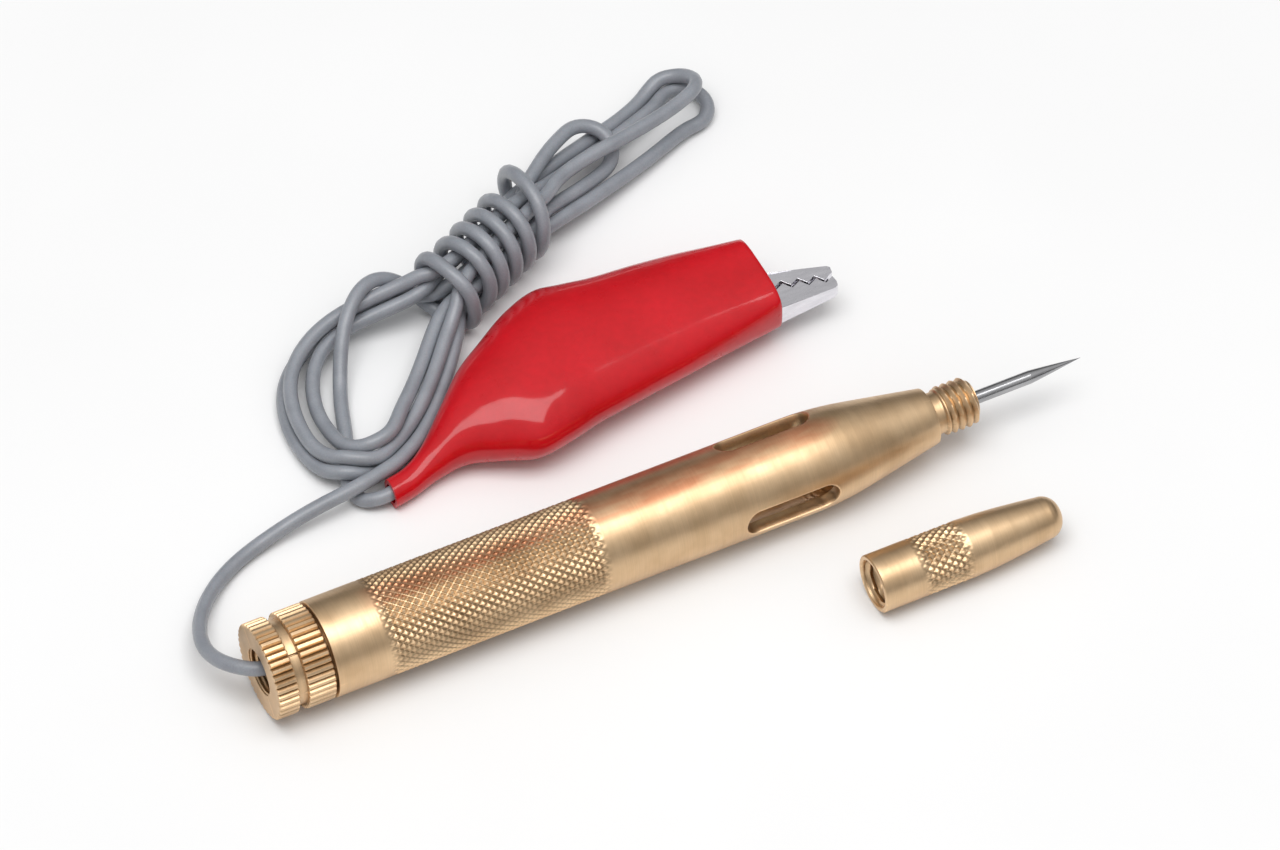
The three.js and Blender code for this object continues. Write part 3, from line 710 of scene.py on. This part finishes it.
def tip_cap():
    outline = [
        (TIP_BORE_END + 0.6, 0.0, 0.4),
        (TIP_BORE_END, TIP_BORE_R, 3.0),
        (7.8, TIP_BORE_R, 0.5),
        (TIP_MOUTH_END, TIP_MOUTH_R, 0.12),
        (0.2, TIP_MOUTH_R, 0.12),
        (0.0, 3.1, 0.2),
        (0.0, TIP_R - 0.15, 0.1),
        (0.15, TIP_R, 0.8),
        (TIP_KNURL[0] - 0.1, TIP_R, KNURL_PITCH / PER_DIAMOND),
        (TIP_KNURL[1] + 0.1, TIP_R, 0.5),
    ]
    for share in (0.25, 0.5, 0.75, 1.0):
        x = TIP_KNURL[1] + 0.4 + (TIP_LENGTH - 2.6 - TIP_KNURL[1]) * share
        outline.append((x, TIP_R - TIP_NARROWS_BY * share**1.4, 0.6))
    nose_x, nose_r = outline[-1][:2]
    for k in range(1, 9):
        angle = pi / 2 * k / 8
        outline.append((nose_x + (TIP_LENGTH - nose_x) * sin(angle), nose_r * cos(angle) ** 0.8, 0.3))
    outline[-1] = (TIP_LENGTH, 0.0, 0.3)
    stations = rows(outline, 0.06, closed=False)
    columns = TIP_KNURL_AROUND * PER_DIAMOND
    piece = turned("tip_cap_turned", stations, columns, TIP_AXIS, tip_relief, closed=False)
    return finished(piece, "brass", "tip_cap_body", "tip_cap")


# ---- alligator clip: x forwards from the pin, y across the jaws, z along the pin ----
PIN_HOLE_R = 1.3
EDGE_ROUND = 0.07  # of the sheet's edges
JAW_NARROWS_X = 4.0
# How high each half stands from the middle of the clip, as (x, half height); the jaws end level
FIXED_HEIGHTS = ((JAW_NARROWS_X, 2.6), (13.5, 1.35), (21.0, 0.85))
MOVING_HEIGHTS = ((JAW_NARROWS_X, 1.75), (8.0, 1.4), (10.5, 1.74), (13.5, 1.35), (21.0, 0.85))
TOOTH_FROM = 9.4
TOOTH_PITCH = 2.05
TOOTH_COUNT = 6
TOOTH_HALF_HEIGHT = 0.45
TOOTH_RISE = 1.2  # how far along the pitch a tooth's slow flank runs
TOOTH_DRIFT = -0.21  # how the toothed edge leans across the clip
JAW_GAP = 0.46  # between the two toothed edges when the clip is shut


def tooth_line(shift):
    """The toothed edge from the rear forwards, moved across by shift."""
    line = []
    for i in range(TOOTH_COUNT):
        x = TOOTH_FROM + TOOTH_PITCH * i
        middle = 0.15 + TOOTH_DRIFT * (x - TOOTH_FROM)
        line += [(x, middle - TOOTH_HALF_HEIGHT + shift)]
        line += [(x + TOOTH_RISE, middle + TOOTH_HALF_HEIGHT + TOOTH_DRIFT * TOOTH_RISE + shift)]
    return line


def prism(name, outline, half_z, end_half_z=None):
    """The outline raised both ways by half_z, or by less towards its front end, in metres."""
    count = len(outline)
    front = max(x for x, _ in outline)
    fall = 0 if end_half_z is None else (half_z - end_half_z) / (front - JAW_NARROWS_X)
    verts = []
    for side in (-1, 1):
        for x, y in outline:
            verts.append((x * MM, y * MM, side * (half_z - fall * (x - JAW_NARROWS_X)) * MM))
    sides = [[i, (i + 1) % count, (i + 1) % count + count, i + count] for i in range(count)]
    faces = [list(range(count))[::-1], list(range(count, 2 * count))] + sides
    return mesh_object(name, verts, faces)


def subtract(obj, tool):
    cutter = obj.modifiers.new("cut", "BOOLEAN")
    cutter.operation = "DIFFERENCE"
    cutter.solver = "EXACT"
    cutter.object = tool


def pressed_half(name, outline, pocket, open_y, heights):
    """Half of the clip: a bent channel of sheet, open at open_y, with a pin hole and softened edges."""
    half_z = heights[0][1]
    end_half_z = (heights[-1][1] - SHEET) * half_z / heights[-1][1]
    rear = [p for p in pocket if p[0] <= JAW_NARROWS_X]
    front = [p for p in pocket if p[0] >= JAW_NARROWS_X]
    ring = [(PIN_HOLE_R * cos(a * pi / 12), PIN_HOLE_R * sin(a * pi / 12)) for a in range(24)]
    rear += [(rear[-1][0], open_y), (rear[0][0], open_y)]
    front += [(front[-1][0], open_y), (front[0][0], open_y)]
    body = prism(name, outline, half_z)
    tools = [
        prism(name + "_rear_pocket", rear, half_z - SHEET),
        prism(name + "_front_pocket", front, half_z - SHEET, end_half_z),
        prism(name + "_hole", ring, 10.0),
    ]
    for tool in tools:
        subtract(body, tool)
    solid = evaluated_mesh(body)
    for tool in tools:
        bpy.data.objects.remove(tool)
    body.modifiers.clear()
    body.data = solid
    stops, levels = zip(*heights)
    for v in solid.vertices:
        v.co.z *= float(np.interp(v.co.x / MM, stops, levels)) / half_z
        v.co += PIVOT
    bevel = body.modifiers.new("soft_edges", "BEVEL")
    bevel.width = EDGE_ROUND * MM
    bevel.segments = 2
    bevel.limit_method = "ANGLE"
    bevel.angle_limit = radians(25)
    bevel.harden_normals = True
    solid.shade_smooth()
    return body


def fixed_jaw():
    outline = [
        (-23.0, -7.2), (-22.0, -7.6), (0, -4.6), (JAW_NARROWS_X, -4.55), (8.0, -4.45), (10.5, -4.4),
        (13.5, -4.3), (17.0, -4.1), (20.3, -3.9), (20.8, -3.6), (20.95, -2.9), (20.85, -2.15),
        *reversed(tooth_line(-JAW_GAP / 2)),
        (7.5, -0.9), (JAW_NARROWS_X, 0.4), (2.6, 2.2), (0.9, 3.0), (-0.9, 3.0), (-2.6, 2.2),
        (-5.0, -1.8), (-9.0, -4.2), (-22.0, -6.2),
    ]
    pocket = [
        (-24.0, -7.44), (-22.0, -7.04), (0, -4.04), (JAW_NARROWS_X, -3.99), (8.0, -3.89), (10.5, -3.84),
        (13.5, -3.74), (17.0, -3.54), (20.2, -3.3),
    ]
    piece = pressed_half("fixed_jaw_pressed", outline, pocket, 6.0, FIXED_HEIGHTS)
    return finished(piece, "nickel", "pen_and_lead", "clip_fixed_jaw")


def moving_jaw():
    outline = [
        (-13.6, 8.6), (-13.0, 9.2), (-6.0, 6.8), (0, 4.7), (JAW_NARROWS_X, 3.7), (8.0, 2.75), (10.5, 2.2),
        (13.5, 1.6), (17.0, 0.75), (20.9, -0.25), (21.25, -0.6), (21.1, -1.5),
        *reversed(tooth_line(JAW_GAP / 2)),
        (7.5, -0.6), (JAW_NARROWS_X, -1.6), (2.6, -2.4), (0.9, -2.9), (-0.9, -2.9), (-2.6, -2.2),
        (-4.4, 0), (-6.6, 4.6), (-13.3, 7.3),
    ]
    pocket = [
        (-15.0, 9.3), (-13.0, 8.6), (-6.0, 6.22), (0, 4.13), (JAW_NARROWS_X, 3.13),
        (8.0, 2.2), (10.5, 1.65), (13.5, 1.05), (17.0, 0.2), (20.4, -0.75),
    ]
    piece = pressed_half("moving_jaw_pressed", outline[::-1], pocket, -9.0, MOVING_HEIGHTS)
    return finished(piece, "nickel", "moving_jaw", "clip_moving_jaw")


# ---- boot ----
# Its cross sections from tail to mouth: x, middle y, middle z, half width, half height, squareness
BOOT_SECTIONS = [
    (26.6, 20.7, 1.8, 1.8, 1.8, 2.0),
    (29.5, 21.3, 1.9, 1.85, 1.9, 2.0),
    (32.5, 22.5, 2.4, 2.3, 2.4, 2.0),
    (36.5, 24.2, 3.5, 4.0, 3.5, 2.0),
    (40.5, 25.0, 4.3, 6.8, 4.3, 2.0),
    (44.5, 25.2, 4.9, 9.0, 4.9, 2.0),
    (49.0, 26.8, 5.1, 10.1, 5.1, 2.0),
    (53.5, 28.2, 5.1, 10.4, 5.1, 2.0),
    (57.0, 28.3, 5.05, 9.9, 5.0, 2.0),
    (61.0, 28.3, 5.0, 9.2, 4.8, 2.05),
    (66.0, 28.5, 4.95, 8.6, 4.6, 2.1),
    (71.0, 28.6, 4.95, 7.8, 4.3, 2.25),
    (76.0, 28.5, 4.95, 6.8, 3.9, 2.7),
    (79.6, 28.4, 5.0, 6.0, 3.6, 3.4),
]


def smooth_through(points, per_span):
    """A smooth line through the points: Catmull-Rom spans with per_span steps each."""
    p = np.array(points, float)
    p = np.vstack([2 * p[0] - p[1], p, 2 * p[-1] - p[-2]])
    out = []
    for i in range(1, len(p) - 2):
        for k in range(per_span):
            t = k / per_span
            a, b, c, d = p[i - 1:i + 3]
            out.append(0.5 * (2 * b + (c - a) * t + (2 * a - 5 * b + 4 * c - d) * t**2
                              + (3 * b - a - 3 * c + d) * t**3))
    out.append(p[-2])
    return np.array(out)


def boot_ring(section, inset):
    """One ring of points round a section, inset by the wall for the boot's inside."""
    x, y, z, width, height, power = section
    ring = []
    for i in range(BOOT_SIDES):
        angle = 2 * pi * i / BOOT_SIDES
        across = np.sign(cos(angle)) * abs(cos(angle)) ** (2 / power)
        up = np.sign(sin(angle)) * abs(sin(angle)) ** (2 / power)
        ring.append((x, y + (width - inset) * across, z + (height - inset) * up))
    return ring


def boot():
    """The boot's shell, open at its tail and mouth."""
    sections = smooth_through(BOOT_SECTIONS, 8)
    mouth = sections[-1].copy()
    mouth[0] += LIP_ROUND
    rings = [boot_ring(sections[0], BOOT_WALL / 2)]
    rings += [boot_ring(s, 0) for s in sections]
    rings += [boot_ring(mouth, LIP_ROUND), boot_ring(mouth, BOOT_WALL - LIP_ROUND)]
    rings += [boot_ring(s, BOOT_WALL) for s in sections[::-1]]
    verts = np.array(rings).reshape(-1, 3) * MM + np.array(BENCH)
    piece = mesh_object("boot_moulded", verts, grid_faces(len(rings), BOOT_SIDES, True), 60.0)
    paint(piece, "red_pvc")
    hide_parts("clip_boot")
    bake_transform(piece)
    return piece


# ---- lead ----
LEAD_ROUTE = [
    (15.6, 0, 6.0), (12.0, 0, 6.0), (8.0, 0, 6.0), (4.0, 0, 6.0), (1.5, 0.1, 6.1),
    (0, 0.4, 6.2), (-1.5, 1.1, 6.2), (-2.9, 2.6, 5.9), (-3.8, 4.9, 5.1), (-3.9, 7.8, 4.0),
    (-2.9, 11.2, 2.9), (-0.8, 14.8, 1.8), (2.2, 17.9, 1.1), (6.0, 20.2, 0.95), (10.5, 21.5, 1.1),
    (14.5, 22.0, 2.0), (18.0, 22.1, 3.0), (21.5, 22.0, 3.2), (24.5, 22.4, 3.2), (28.0, 23.8, 3.0),
    (32.5, 27.0, 2.5), (36.8, 31.0, 2.4), (40.5, 34.8, 2.8), (43.5, 38.0, 3.6),
]
LONG_LOOP_LOW = [
    (61.8, 48.9, 4.0), (67.0, 51.0, 3.0), (74.0, 53.6, 2.0), (80.5, 56.1, 1.5), (86.0, 59.1, 1.2),
    (89.0, 61.8, 1.2), (88.9, 64.0, 1.6), (86.2, 63.5, 2.0), (79.6, 60.8, 2.5), (71.0, 57.5, 3.5),
    (64.5, 54.6, 4.5),
]
LEFT_LOOP_OUTER = [
    (42.0, 46.3, 6.0), (37.0, 47.4, 5.0), (32.6, 47.1, 4.5), (28.6, 46.2, 4.0), (25.5, 44.4, 3.5),
    (23.2, 42.2, 3.0), (21.8, 39.2, 2.8), (20.9, 35.0, 2.8), (21.0, 30.4, 2.8), (22.0, 26.8, 2.8),
    (24.2, 24.9, 2.8), (27.9, 25.3, 2.8), (32.5, 27.8, 2.8), (37.6, 32.5, 3.0), (41.6, 36.9, 4.0),
    (44.0, 39.6, 4.6),
]
LONG_LOOP_HIGH = [
    (62.7, 53.0, 6.4), (69.0, 54.8, 6.4), (75.2, 56.0, 6.2), (80.0, 57.1, 6.0), (84.6, 58.6, 5.8),
    (87.6, 61.0, 5.2), (87.9, 63.6, 3.8), (85.2, 64.9, 2.4), (80.2, 63.3, 1.9), (74.2, 60.6, 2.6),
    (67.0, 57.8, 4.2), (62.5, 55.6, 5.2),
]
LEFT_LOOP_INNER = [
    (43.0, 44.6, 5.2), (38.7, 45.3, 4.2), (34.9, 45.8, 3.2), (31.3, 45.8, 2.7), (28.6, 44.8, 2.3),
    (26.5, 42.6, 1.9), (24.9, 39.5, 1.8), (23.9, 35.8, 1.9), (23.8, 31.4, 2.8), (24.8, 27.8, 3.6),
    (26.8, 26.2, 3.8), (29.4, 26.6, 3.8), (32.9, 29.7, 3.6), (36.9, 34.4, 3.6), (41.0, 39.4, 4.2),
    (43.3, 41.8, 5.0),
]
SHORT_LOOP = [
    (61.4, 50.9, 4.6), (65.0, 51.9, 4.0), (69.0, 53.2, 3.4), (72.2, 55.4, 3.0), (73.9, 57.7, 3.0),
    (74.0, 59.4, 3.8), (72.9, 60.4, 4.8), (70.6, 60.5, 5.6), (67.6, 59.4, 6.2), (64.5, 57.4, 6.4),
    (61.8, 54.6, 6.2),
]
LEFT_LOOP_BENCH = [
    (42.6, 46.6, 4.0), (37.1, 48.0, 3.0), (31.2, 47.7, 2.0), (26.3, 45.9, 1.0), (22.9, 43.2, 1.0),
    (21.2, 40.2, 1.0), (20.1, 37.0, 1.0), (19.9, 32.8, 1.0), (20.3, 28.7, 1.4), (22.2, 25.6, 2.6),
    (25.7, 24.7, 2.6), (30.4, 26.4, 1.4), (34.9, 30.2, 1.0), (39.8, 35.4, 1.2), (43.3, 39.2, 2.2),
]
CROSSING_ROUTE = [
    (39.6, 48.9, 5.7), (37.6, 49.1, 6.5), (35.0, 47.6, 6.4), (32.4, 45.4, 6.0), (31.0, 43.6, 5.0),
    (29.9, 42.0, 3.6), (28.9, 40.0, 1.8), (27.6, 37.4, 1.0), (26.6, 34.2, 1.0), (25.6, 30.8, 1.0),
    (24.2, 27.8, 0.95), (22.9, 25.6, 0.95), (22.55, 24.0, 0.95), (22.95, 22.4, 1.0), (24.2, 21.2, 1.4),
    (25.4, 20.75, 1.7), (26.2, 20.7, 1.8),
]
CLIP_END_ROUTE = [
    (26.9, 20.75, 1.9), (29.5, 21.3, 2.1), (33.0, 22.3, 2.7), (37.0, 22.6, 3.7), (42.4, 21.5, 4.6),
]
WRAP_START = np.array((45.0, 43.6, 5.4))
WRAP_END = np.array((59.2, 50.9, 5.4))
WRAP_R = 4.4
STRAND_GAP = 2.55  # between the middles of strands in the bundle
TURN_BACKS = [0.3, 4.4, 7.6, 10.4, 13.4, 18.9]  # how far along the bundle each turn passes its far side
TURN_FRONTS = [-0.4, 3.2, 5.4, 8.1, 10.8, 13.3]  # and its near side
LAST_TURN_STANDS = 0.22  # how much wider the turn at the right end stands at its far side
TURN_STEPS = 10  # points in half a turn
SPACING = 1.0  # between the points that the lead settles by
LEAST_BEND = 3.2  # the radius that tighter bends are pushed towards
CHORD_REACHES = (2, 3, 4, 6)  # points between the ends of the chords that open a bend
CHORD_PUSH = 0.25
SETTLE_ROUNDS = 300
LAST_ROUNDS = 80  # in which the course hardly holds the lead any more
COURSE_HOLD, LAST_COURSE_HOLD = 0.03, 0.004
STIFFNESS = 0.2
LEAST_APART = 2 * CORD_R + 0.05  # between the middles of strands
SHARED_PUSH = 0.35  # how much each further touch weakens a push
NEIGHBOURS = 6  # points this close along the lead can't touch


def in_wrap(along, across, up):
    """A point in the bundle's own directions: along it, across it away from the pen, and up."""
    forward = (WRAP_END - WRAP_START) / np.linalg.norm(WRAP_END - WRAP_START)
    sideways = np.array((-forward[1], forward[0], 0.0))
    return WRAP_START + along * forward + across * sideways + np.array((0, 0, up))


def through_bundle(place, backwards):
    """One pass through the bundle; place 0 is its middle and 1 to 6 lie round it."""
    angle = radians(60 * (place - 1))
    radius = STRAND_GAP if place else 0.0
    stops = [1.5, 5.0, 8.5, 12.0, 15.0]
    points = [in_wrap(s, radius * cos(angle), radius * sin(angle)) for s in stops]
    return points[::-1] if backwards else points


def winding():
    """The turns round the bundle, from its right end to its left."""
    points = [in_wrap(16.8, 0.6, -4.3), in_wrap(17.6, 3.4, -3.9), in_wrap(18.4, 5.1, -2.0)]
    for turn in reversed(range(len(TURN_BACKS))):
        back, front = TURN_BACKS[turn], TURN_FRONTS[turn]
        following = TURN_BACKS[turn - 1] if turn else -0.6
        stands = LAST_TURN_STANDS if turn == len(TURN_BACKS) - 1 else 0.0
        for k in range(TURN_STEPS):
            angle = pi * k / TURN_STEPS
            along = back + (front - back) * k / TURN_STEPS
            radius = WRAP_R * (1 + stands * (1 - k / TURN_STEPS))
            points.append(in_wrap(along, radius * cos(angle), radius * sin(angle)))
        for k in range(TURN_STEPS if turn else TURN_STEPS - 2):
            angle = pi + pi * k / TURN_STEPS
            along = front + (following - front) * k / TURN_STEPS
            points.append(in_wrap(along, WRAP_R * cos(angle), WRAP_R * sin(angle)))
    points += [in_wrap(-0.7, 4.5, -2.6), in_wrap(-1.8, 5.7, -1.0)]
    return points


def even(points, spacing):
    """The line resampled at an even spacing."""
    steps = np.linalg.norm(np.diff(points, axis=0), axis=1)
    length = np.concatenate([[0], np.cumsum(steps)])
    at = np.linspace(0, length[-1], int(round(length[-1] / spacing)) + 1)
    return np.stack([np.interp(at, length, points[:, i]) for i in range(3)], axis=1)


def boot_push(points):
    """Moves points out of the boot's space, sideways or up."""
    sections = np.array(BOOT_SECTIONS)
    x = points[:, 0]
    middle, level, width, height = (np.interp(x, sections[:, 0], sections[:, i]) for i in (1, 2, 3, 4))
    offset = np.stack([(points[:, 1] - middle) / (width + CORD_R + 0.1),
                       (points[:, 2] - level) / (height + CORD_R + 0.1)], axis=1)
    reach = np.maximum(np.linalg.norm(offset, axis=1), 1e-6)
    inside = (x > sections[0, 0] - 0.6) & (reach < 1)
    out = points.copy()
    out[inside, 1] = (middle + (points[:, 1] - middle) / reach)[inside]
    out[inside, 2] = (level + (points[:, 2] - level) / reach)[inside]
    return out


def spread_chords(points, free):
    """Pushes the ends of short chords apart where the lead bends tighter than its least radius."""
    for reach in CHORD_REACHES:
        least = 2 * LEAST_BEND * sin(reach * SPACING / (2 * LEAST_BEND))
        gap = points[reach:] - points[:-reach]
        length = np.linalg.norm(gap, axis=1, keepdims=True)
        push = CHORD_PUSH * gap * np.maximum(least / np.maximum(length, 1e-6) - 1, 0)
        shift = np.zeros_like(points)
        shift[reach:] += push
        shift[:-reach] -= push
        points = points + shift * free[:, None]
    return points


def settled(route, free_from, free_to):
    """Pushes the lead out of itself, the bench and the boot, while it keeps its length and course."""
    guide = even(smooth_through(route, 8), SPACING)
    points = guide.copy()
    count = len(points)
    first = int(np.argmin(np.linalg.norm(guide - np.array(free_from), axis=1)))
    last = count - 1 - int(np.argmin(np.linalg.norm(guide[::-1] - np.array(free_to), axis=1)))
    free = np.zeros(count)
    free[first:last + 1] = 1.0
    a, b = np.triu_indices(count, NEIGHBOURS)
    for turn in range(SETTLE_ROUNDS):
        hold = COURSE_HOLD if turn < SETTLE_ROUNDS - LAST_ROUNDS else LAST_COURSE_HOLD
        change = hold * (guide - points)
        change[1:-1] += STIFFNESS * (0.5 * (points[:-2] + points[2:]) - points[1:-1])
        points = points + change * free[:, None]
        for _ in range(2):
            if turn % 5 == 0:
                near = np.abs(points[b] - points[a]).max(axis=1) < LEAST_APART + 1.5
                near_a, near_b = a[near], b[near]
            gap = points[near_b] - points[near_a]
            distance = np.sqrt((gap**2).sum(axis=1))
            close = distance < LEAST_APART
            overlap = (LEAST_APART - distance[close]) / np.maximum(distance[close], 1e-6)
            push = gap[close] * (overlap * 0.5)[:, None]
            shift = np.zeros_like(points)
            hits = np.ones(count)
            np.add.at(shift, near_a[close], -push)
            np.add.at(shift, near_b[close], push)
            np.add.at(hits, near_a[close], SHARED_PUSH)
            np.add.at(hits, near_b[close], SHARED_PUSH)
            points = points + shift / hits[:, None] * free[:, None]
        points = spread_chords(points, free)
        for _ in range(4):
            step = np.diff(points, axis=0)
            length = np.linalg.norm(step, axis=1, keepdims=True)
            fix = 0.5 * step * (1 - SPACING / np.maximum(length, 1e-6))
            points[:-1] += fix * free[:-1, None]
            points[1:] -= fix * free[1:, None]
        moved = boot_push(points)
        moved[:, 2] = np.maximum(moved[:, 2], CORD_R + 0.02)
        points = np.where(free[:, None] > 0, moved, points)
    return points


def lead_route():
    """The lead's course from the pen to the clip, by its passes through the bundle and its loops."""
    route = list(LEAD_ROUTE) + through_bundle(5, False)
    route += LONG_LOOP_LOW + through_bundle(2, True)
    route += LEFT_LOOP_OUTER + through_bundle(3, False)
    route += LONG_LOOP_HIGH + through_bundle(1, True)
    route += LEFT_LOOP_INNER + through_bundle(4, False)
    route += SHORT_LOOP + through_bundle(0, True)
    route += LEFT_LOOP_BENCH + through_bundle(6, False)
    route += winding() + CROSSING_ROUTE + CLIP_END_ROUTE
    return [tuple(p) for p in route]


def round_bar(name, line, radius):
    """A curve of that radius along a line of points, in metres."""
    curve = bpy.data.curves.new(name, "CURVE")
    curve.dimensions = "3D"
    curve.bevel_depth = radius
    curve.bevel_resolution = 4
    curve.use_fill_caps = True
    spline = curve.splines.new("POLY")
    spline.points.add(len(line) - 1)
    for target, point in zip(spline.points, line):
        target.co = (*point, 1.0)
    return placed(name, curve)


def lead():
    points = settled(lead_route(), LEAD_ROUTE[6], CROSSING_ROUTE[-4])
    obj = round_bar("lead", smooth_through(points, 2) * MM + np.array(BENCH), CORD_R * MM)
    runs = ("lead", "loops_left", "wrap", "loops_right", "tail", "clip_end")
    return finished(obj, "grey_pvc", "pen_and_lead", *["cord_" + run for run in runs])


# ---- springs ----
# They stand for the CAD springs, which can't change shape with their joints here.
STEPS_PER_TURN = 20
CONTACT_WIRE_R, CONTACT_TURNS = 0.4, 9
CLIP_WIRE_R, CLIP_COIL_R, CLIP_TURNS, CLIP_RISE = 0.28, 1.7, 2.5, 0.62
CLIP_FIRST_ANGLE = -2.2  # in radians, where the fixed leg meets the coil


def spring_wire(name, line, radius):
    """A round wire as a mesh, painted as steel."""
    bar = round_bar(name + "_line", line, radius * MM)
    mesh = evaluated_mesh(bar)
    bpy.data.objects.remove(bar)
    mesh.shade_smooth()
    obj = placed(name, mesh)
    paint(obj, "steel")
    return obj


def contact_coil():
    """The plunger's spring."""
    low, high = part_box("contact_spring")
    coil_r = (high[1] - low[1]) / 2 / MM - CONTACT_WIRE_R
    first, last = low[0] / MM + CONTACT_WIRE_R, high[0] / MM - CONTACT_WIRE_R
    steps = CONTACT_TURNS * STEPS_PER_TURN
    line = []
    for i in range(steps + 1):
        angle = 2 * pi * i / STEPS_PER_TURN
        x = first + (last - first) * i / steps
        line.append((x * MM, PEN_Y + coil_r * cos(angle) * MM, PEN_Z + coil_r * sin(angle) * MM))
    coil = spring_wire("contact_coil", line, CONTACT_WIRE_R)
    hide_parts("contact_spring")
    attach(coil, "pen_and_lead")
    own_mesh(coil)


def clip_coil():
    """The clip's torsion spring."""
    half = CLIP_RISE * CLIP_TURNS / 2
    line = [(-8.0, -4.3, -half), (-4.0, -2.9, -half)]
    for i in range(int(CLIP_TURNS * STEPS_PER_TURN) + 1):
        angle = CLIP_FIRST_ANGLE + 2 * pi * i / STEPS_PER_TURN
        height = CLIP_RISE * i / STEPS_PER_TURN - half
        line.append((CLIP_COIL_R * cos(angle), CLIP_COIL_R * sin(angle), height))
    line += [(-3.2, 2.9, half), (-7.0, 5.3, half)]
    coil = spring_wire("clip_coil", np.array(line) * MM + np.array(PIVOT), CLIP_WIRE_R)
    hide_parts("clip_spring")
    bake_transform(coil)
    return coil


# ---- stage ----
SKY_BRIGHT_SIDE = Vector((-0.08, -0.16, 0.98))
SKY_LOW, SKY_HIGH = 0.12, 0.8
SOFTBOX_OFFSET = Vector((-0.08, -0.16, 1.0))
SOFTBOX_SIZE = (1.0, 0.6)
SOFTBOX_WATTS = 7.0
FLOOR_HALF = 3.0
FLOOR_DROP = 0.00005  # keeps the floor just clear of what rests on it


def softbox():
    light = bpy.data.lights.new("softbox", "AREA")
    light.shape = "RECTANGLE"
    light.size, light.size_y = SOFTBOX_SIZE
    light.energy = SOFTBOX_WATTS
    aim = bench(45, 25)
    place = aim + SOFTBOX_OFFSET
    holder = placed("softbox", light)
    holder.location = place
    holder.rotation_euler = (aim - place).to_track_quat("-Z", "Y").to_euler()


def stage():
    """The pale floor, the sky and the light, shown without a tone curve."""
    corners = [(x * FLOOR_HALF, y * FLOOR_HALF, 0) for x, y in ((-1, -1), (1, -1), (1, 1), (-1, 1))]
    floor = mesh_object("floor", corners, [[0, 1, 2, 3]])
    floor.location.z = -FLOOR_DROP
    floor.data.materials.append(floor_paper())
    studio_sky()
    softbox()
    view = bpy.context.scene.view_settings
    view.view_transform = "Standard"
    view.look = "None"
    view.exposure = 0.0


def studio_sky():
    """A white studio that is brightest high over the object and dim near the horizon."""
    world = bpy.data.worlds.new("studio")
    world.use_nodes = True
    nodes, links = world.node_tree.nodes, world.node_tree.links
    along = nodes.new("ShaderNodeVectorMath")
    along.operation = "DOT_PRODUCT"
    along.inputs[1].default_value = SKY_BRIGHT_SIDE.normalized()
    links.new(nodes.new("ShaderNodeTexCoord").outputs["Generated"], along.inputs[0])
    ramp = nodes.new("ShaderNodeMapRange")
    ramp.interpolation_type = "SMOOTHSTEP"
    ends = (("From Min", 0.05), ("From Max", 1.0), ("To Min", SKY_LOW), ("To Max", SKY_HIGH))
    for socket, value in ends:
        ramp.inputs[socket].default_value = value
    links.new(along.outputs["Value"], ramp.inputs["Value"])
    links.new(ramp.outputs["Result"], nodes["Background"].inputs["Strength"])
    nodes["Background"].inputs["Color"].default_value = (1.0, 1.0, 1.0, 1.0)
    bpy.context.scene.world = world


# ---- the whole ----
camera()
paint_nodes()
wire = lead()
barrel()
rear_cap()
needle()
tip_cap()
jaws = [fixed_jaw(), moving_jaw()]
sleeve = boot()
contact_coil()
clip_nodes = [clip_coil()] + [frame["nodes"][name] for name in ("clip_pin", "cord_core_clip")]
stage()
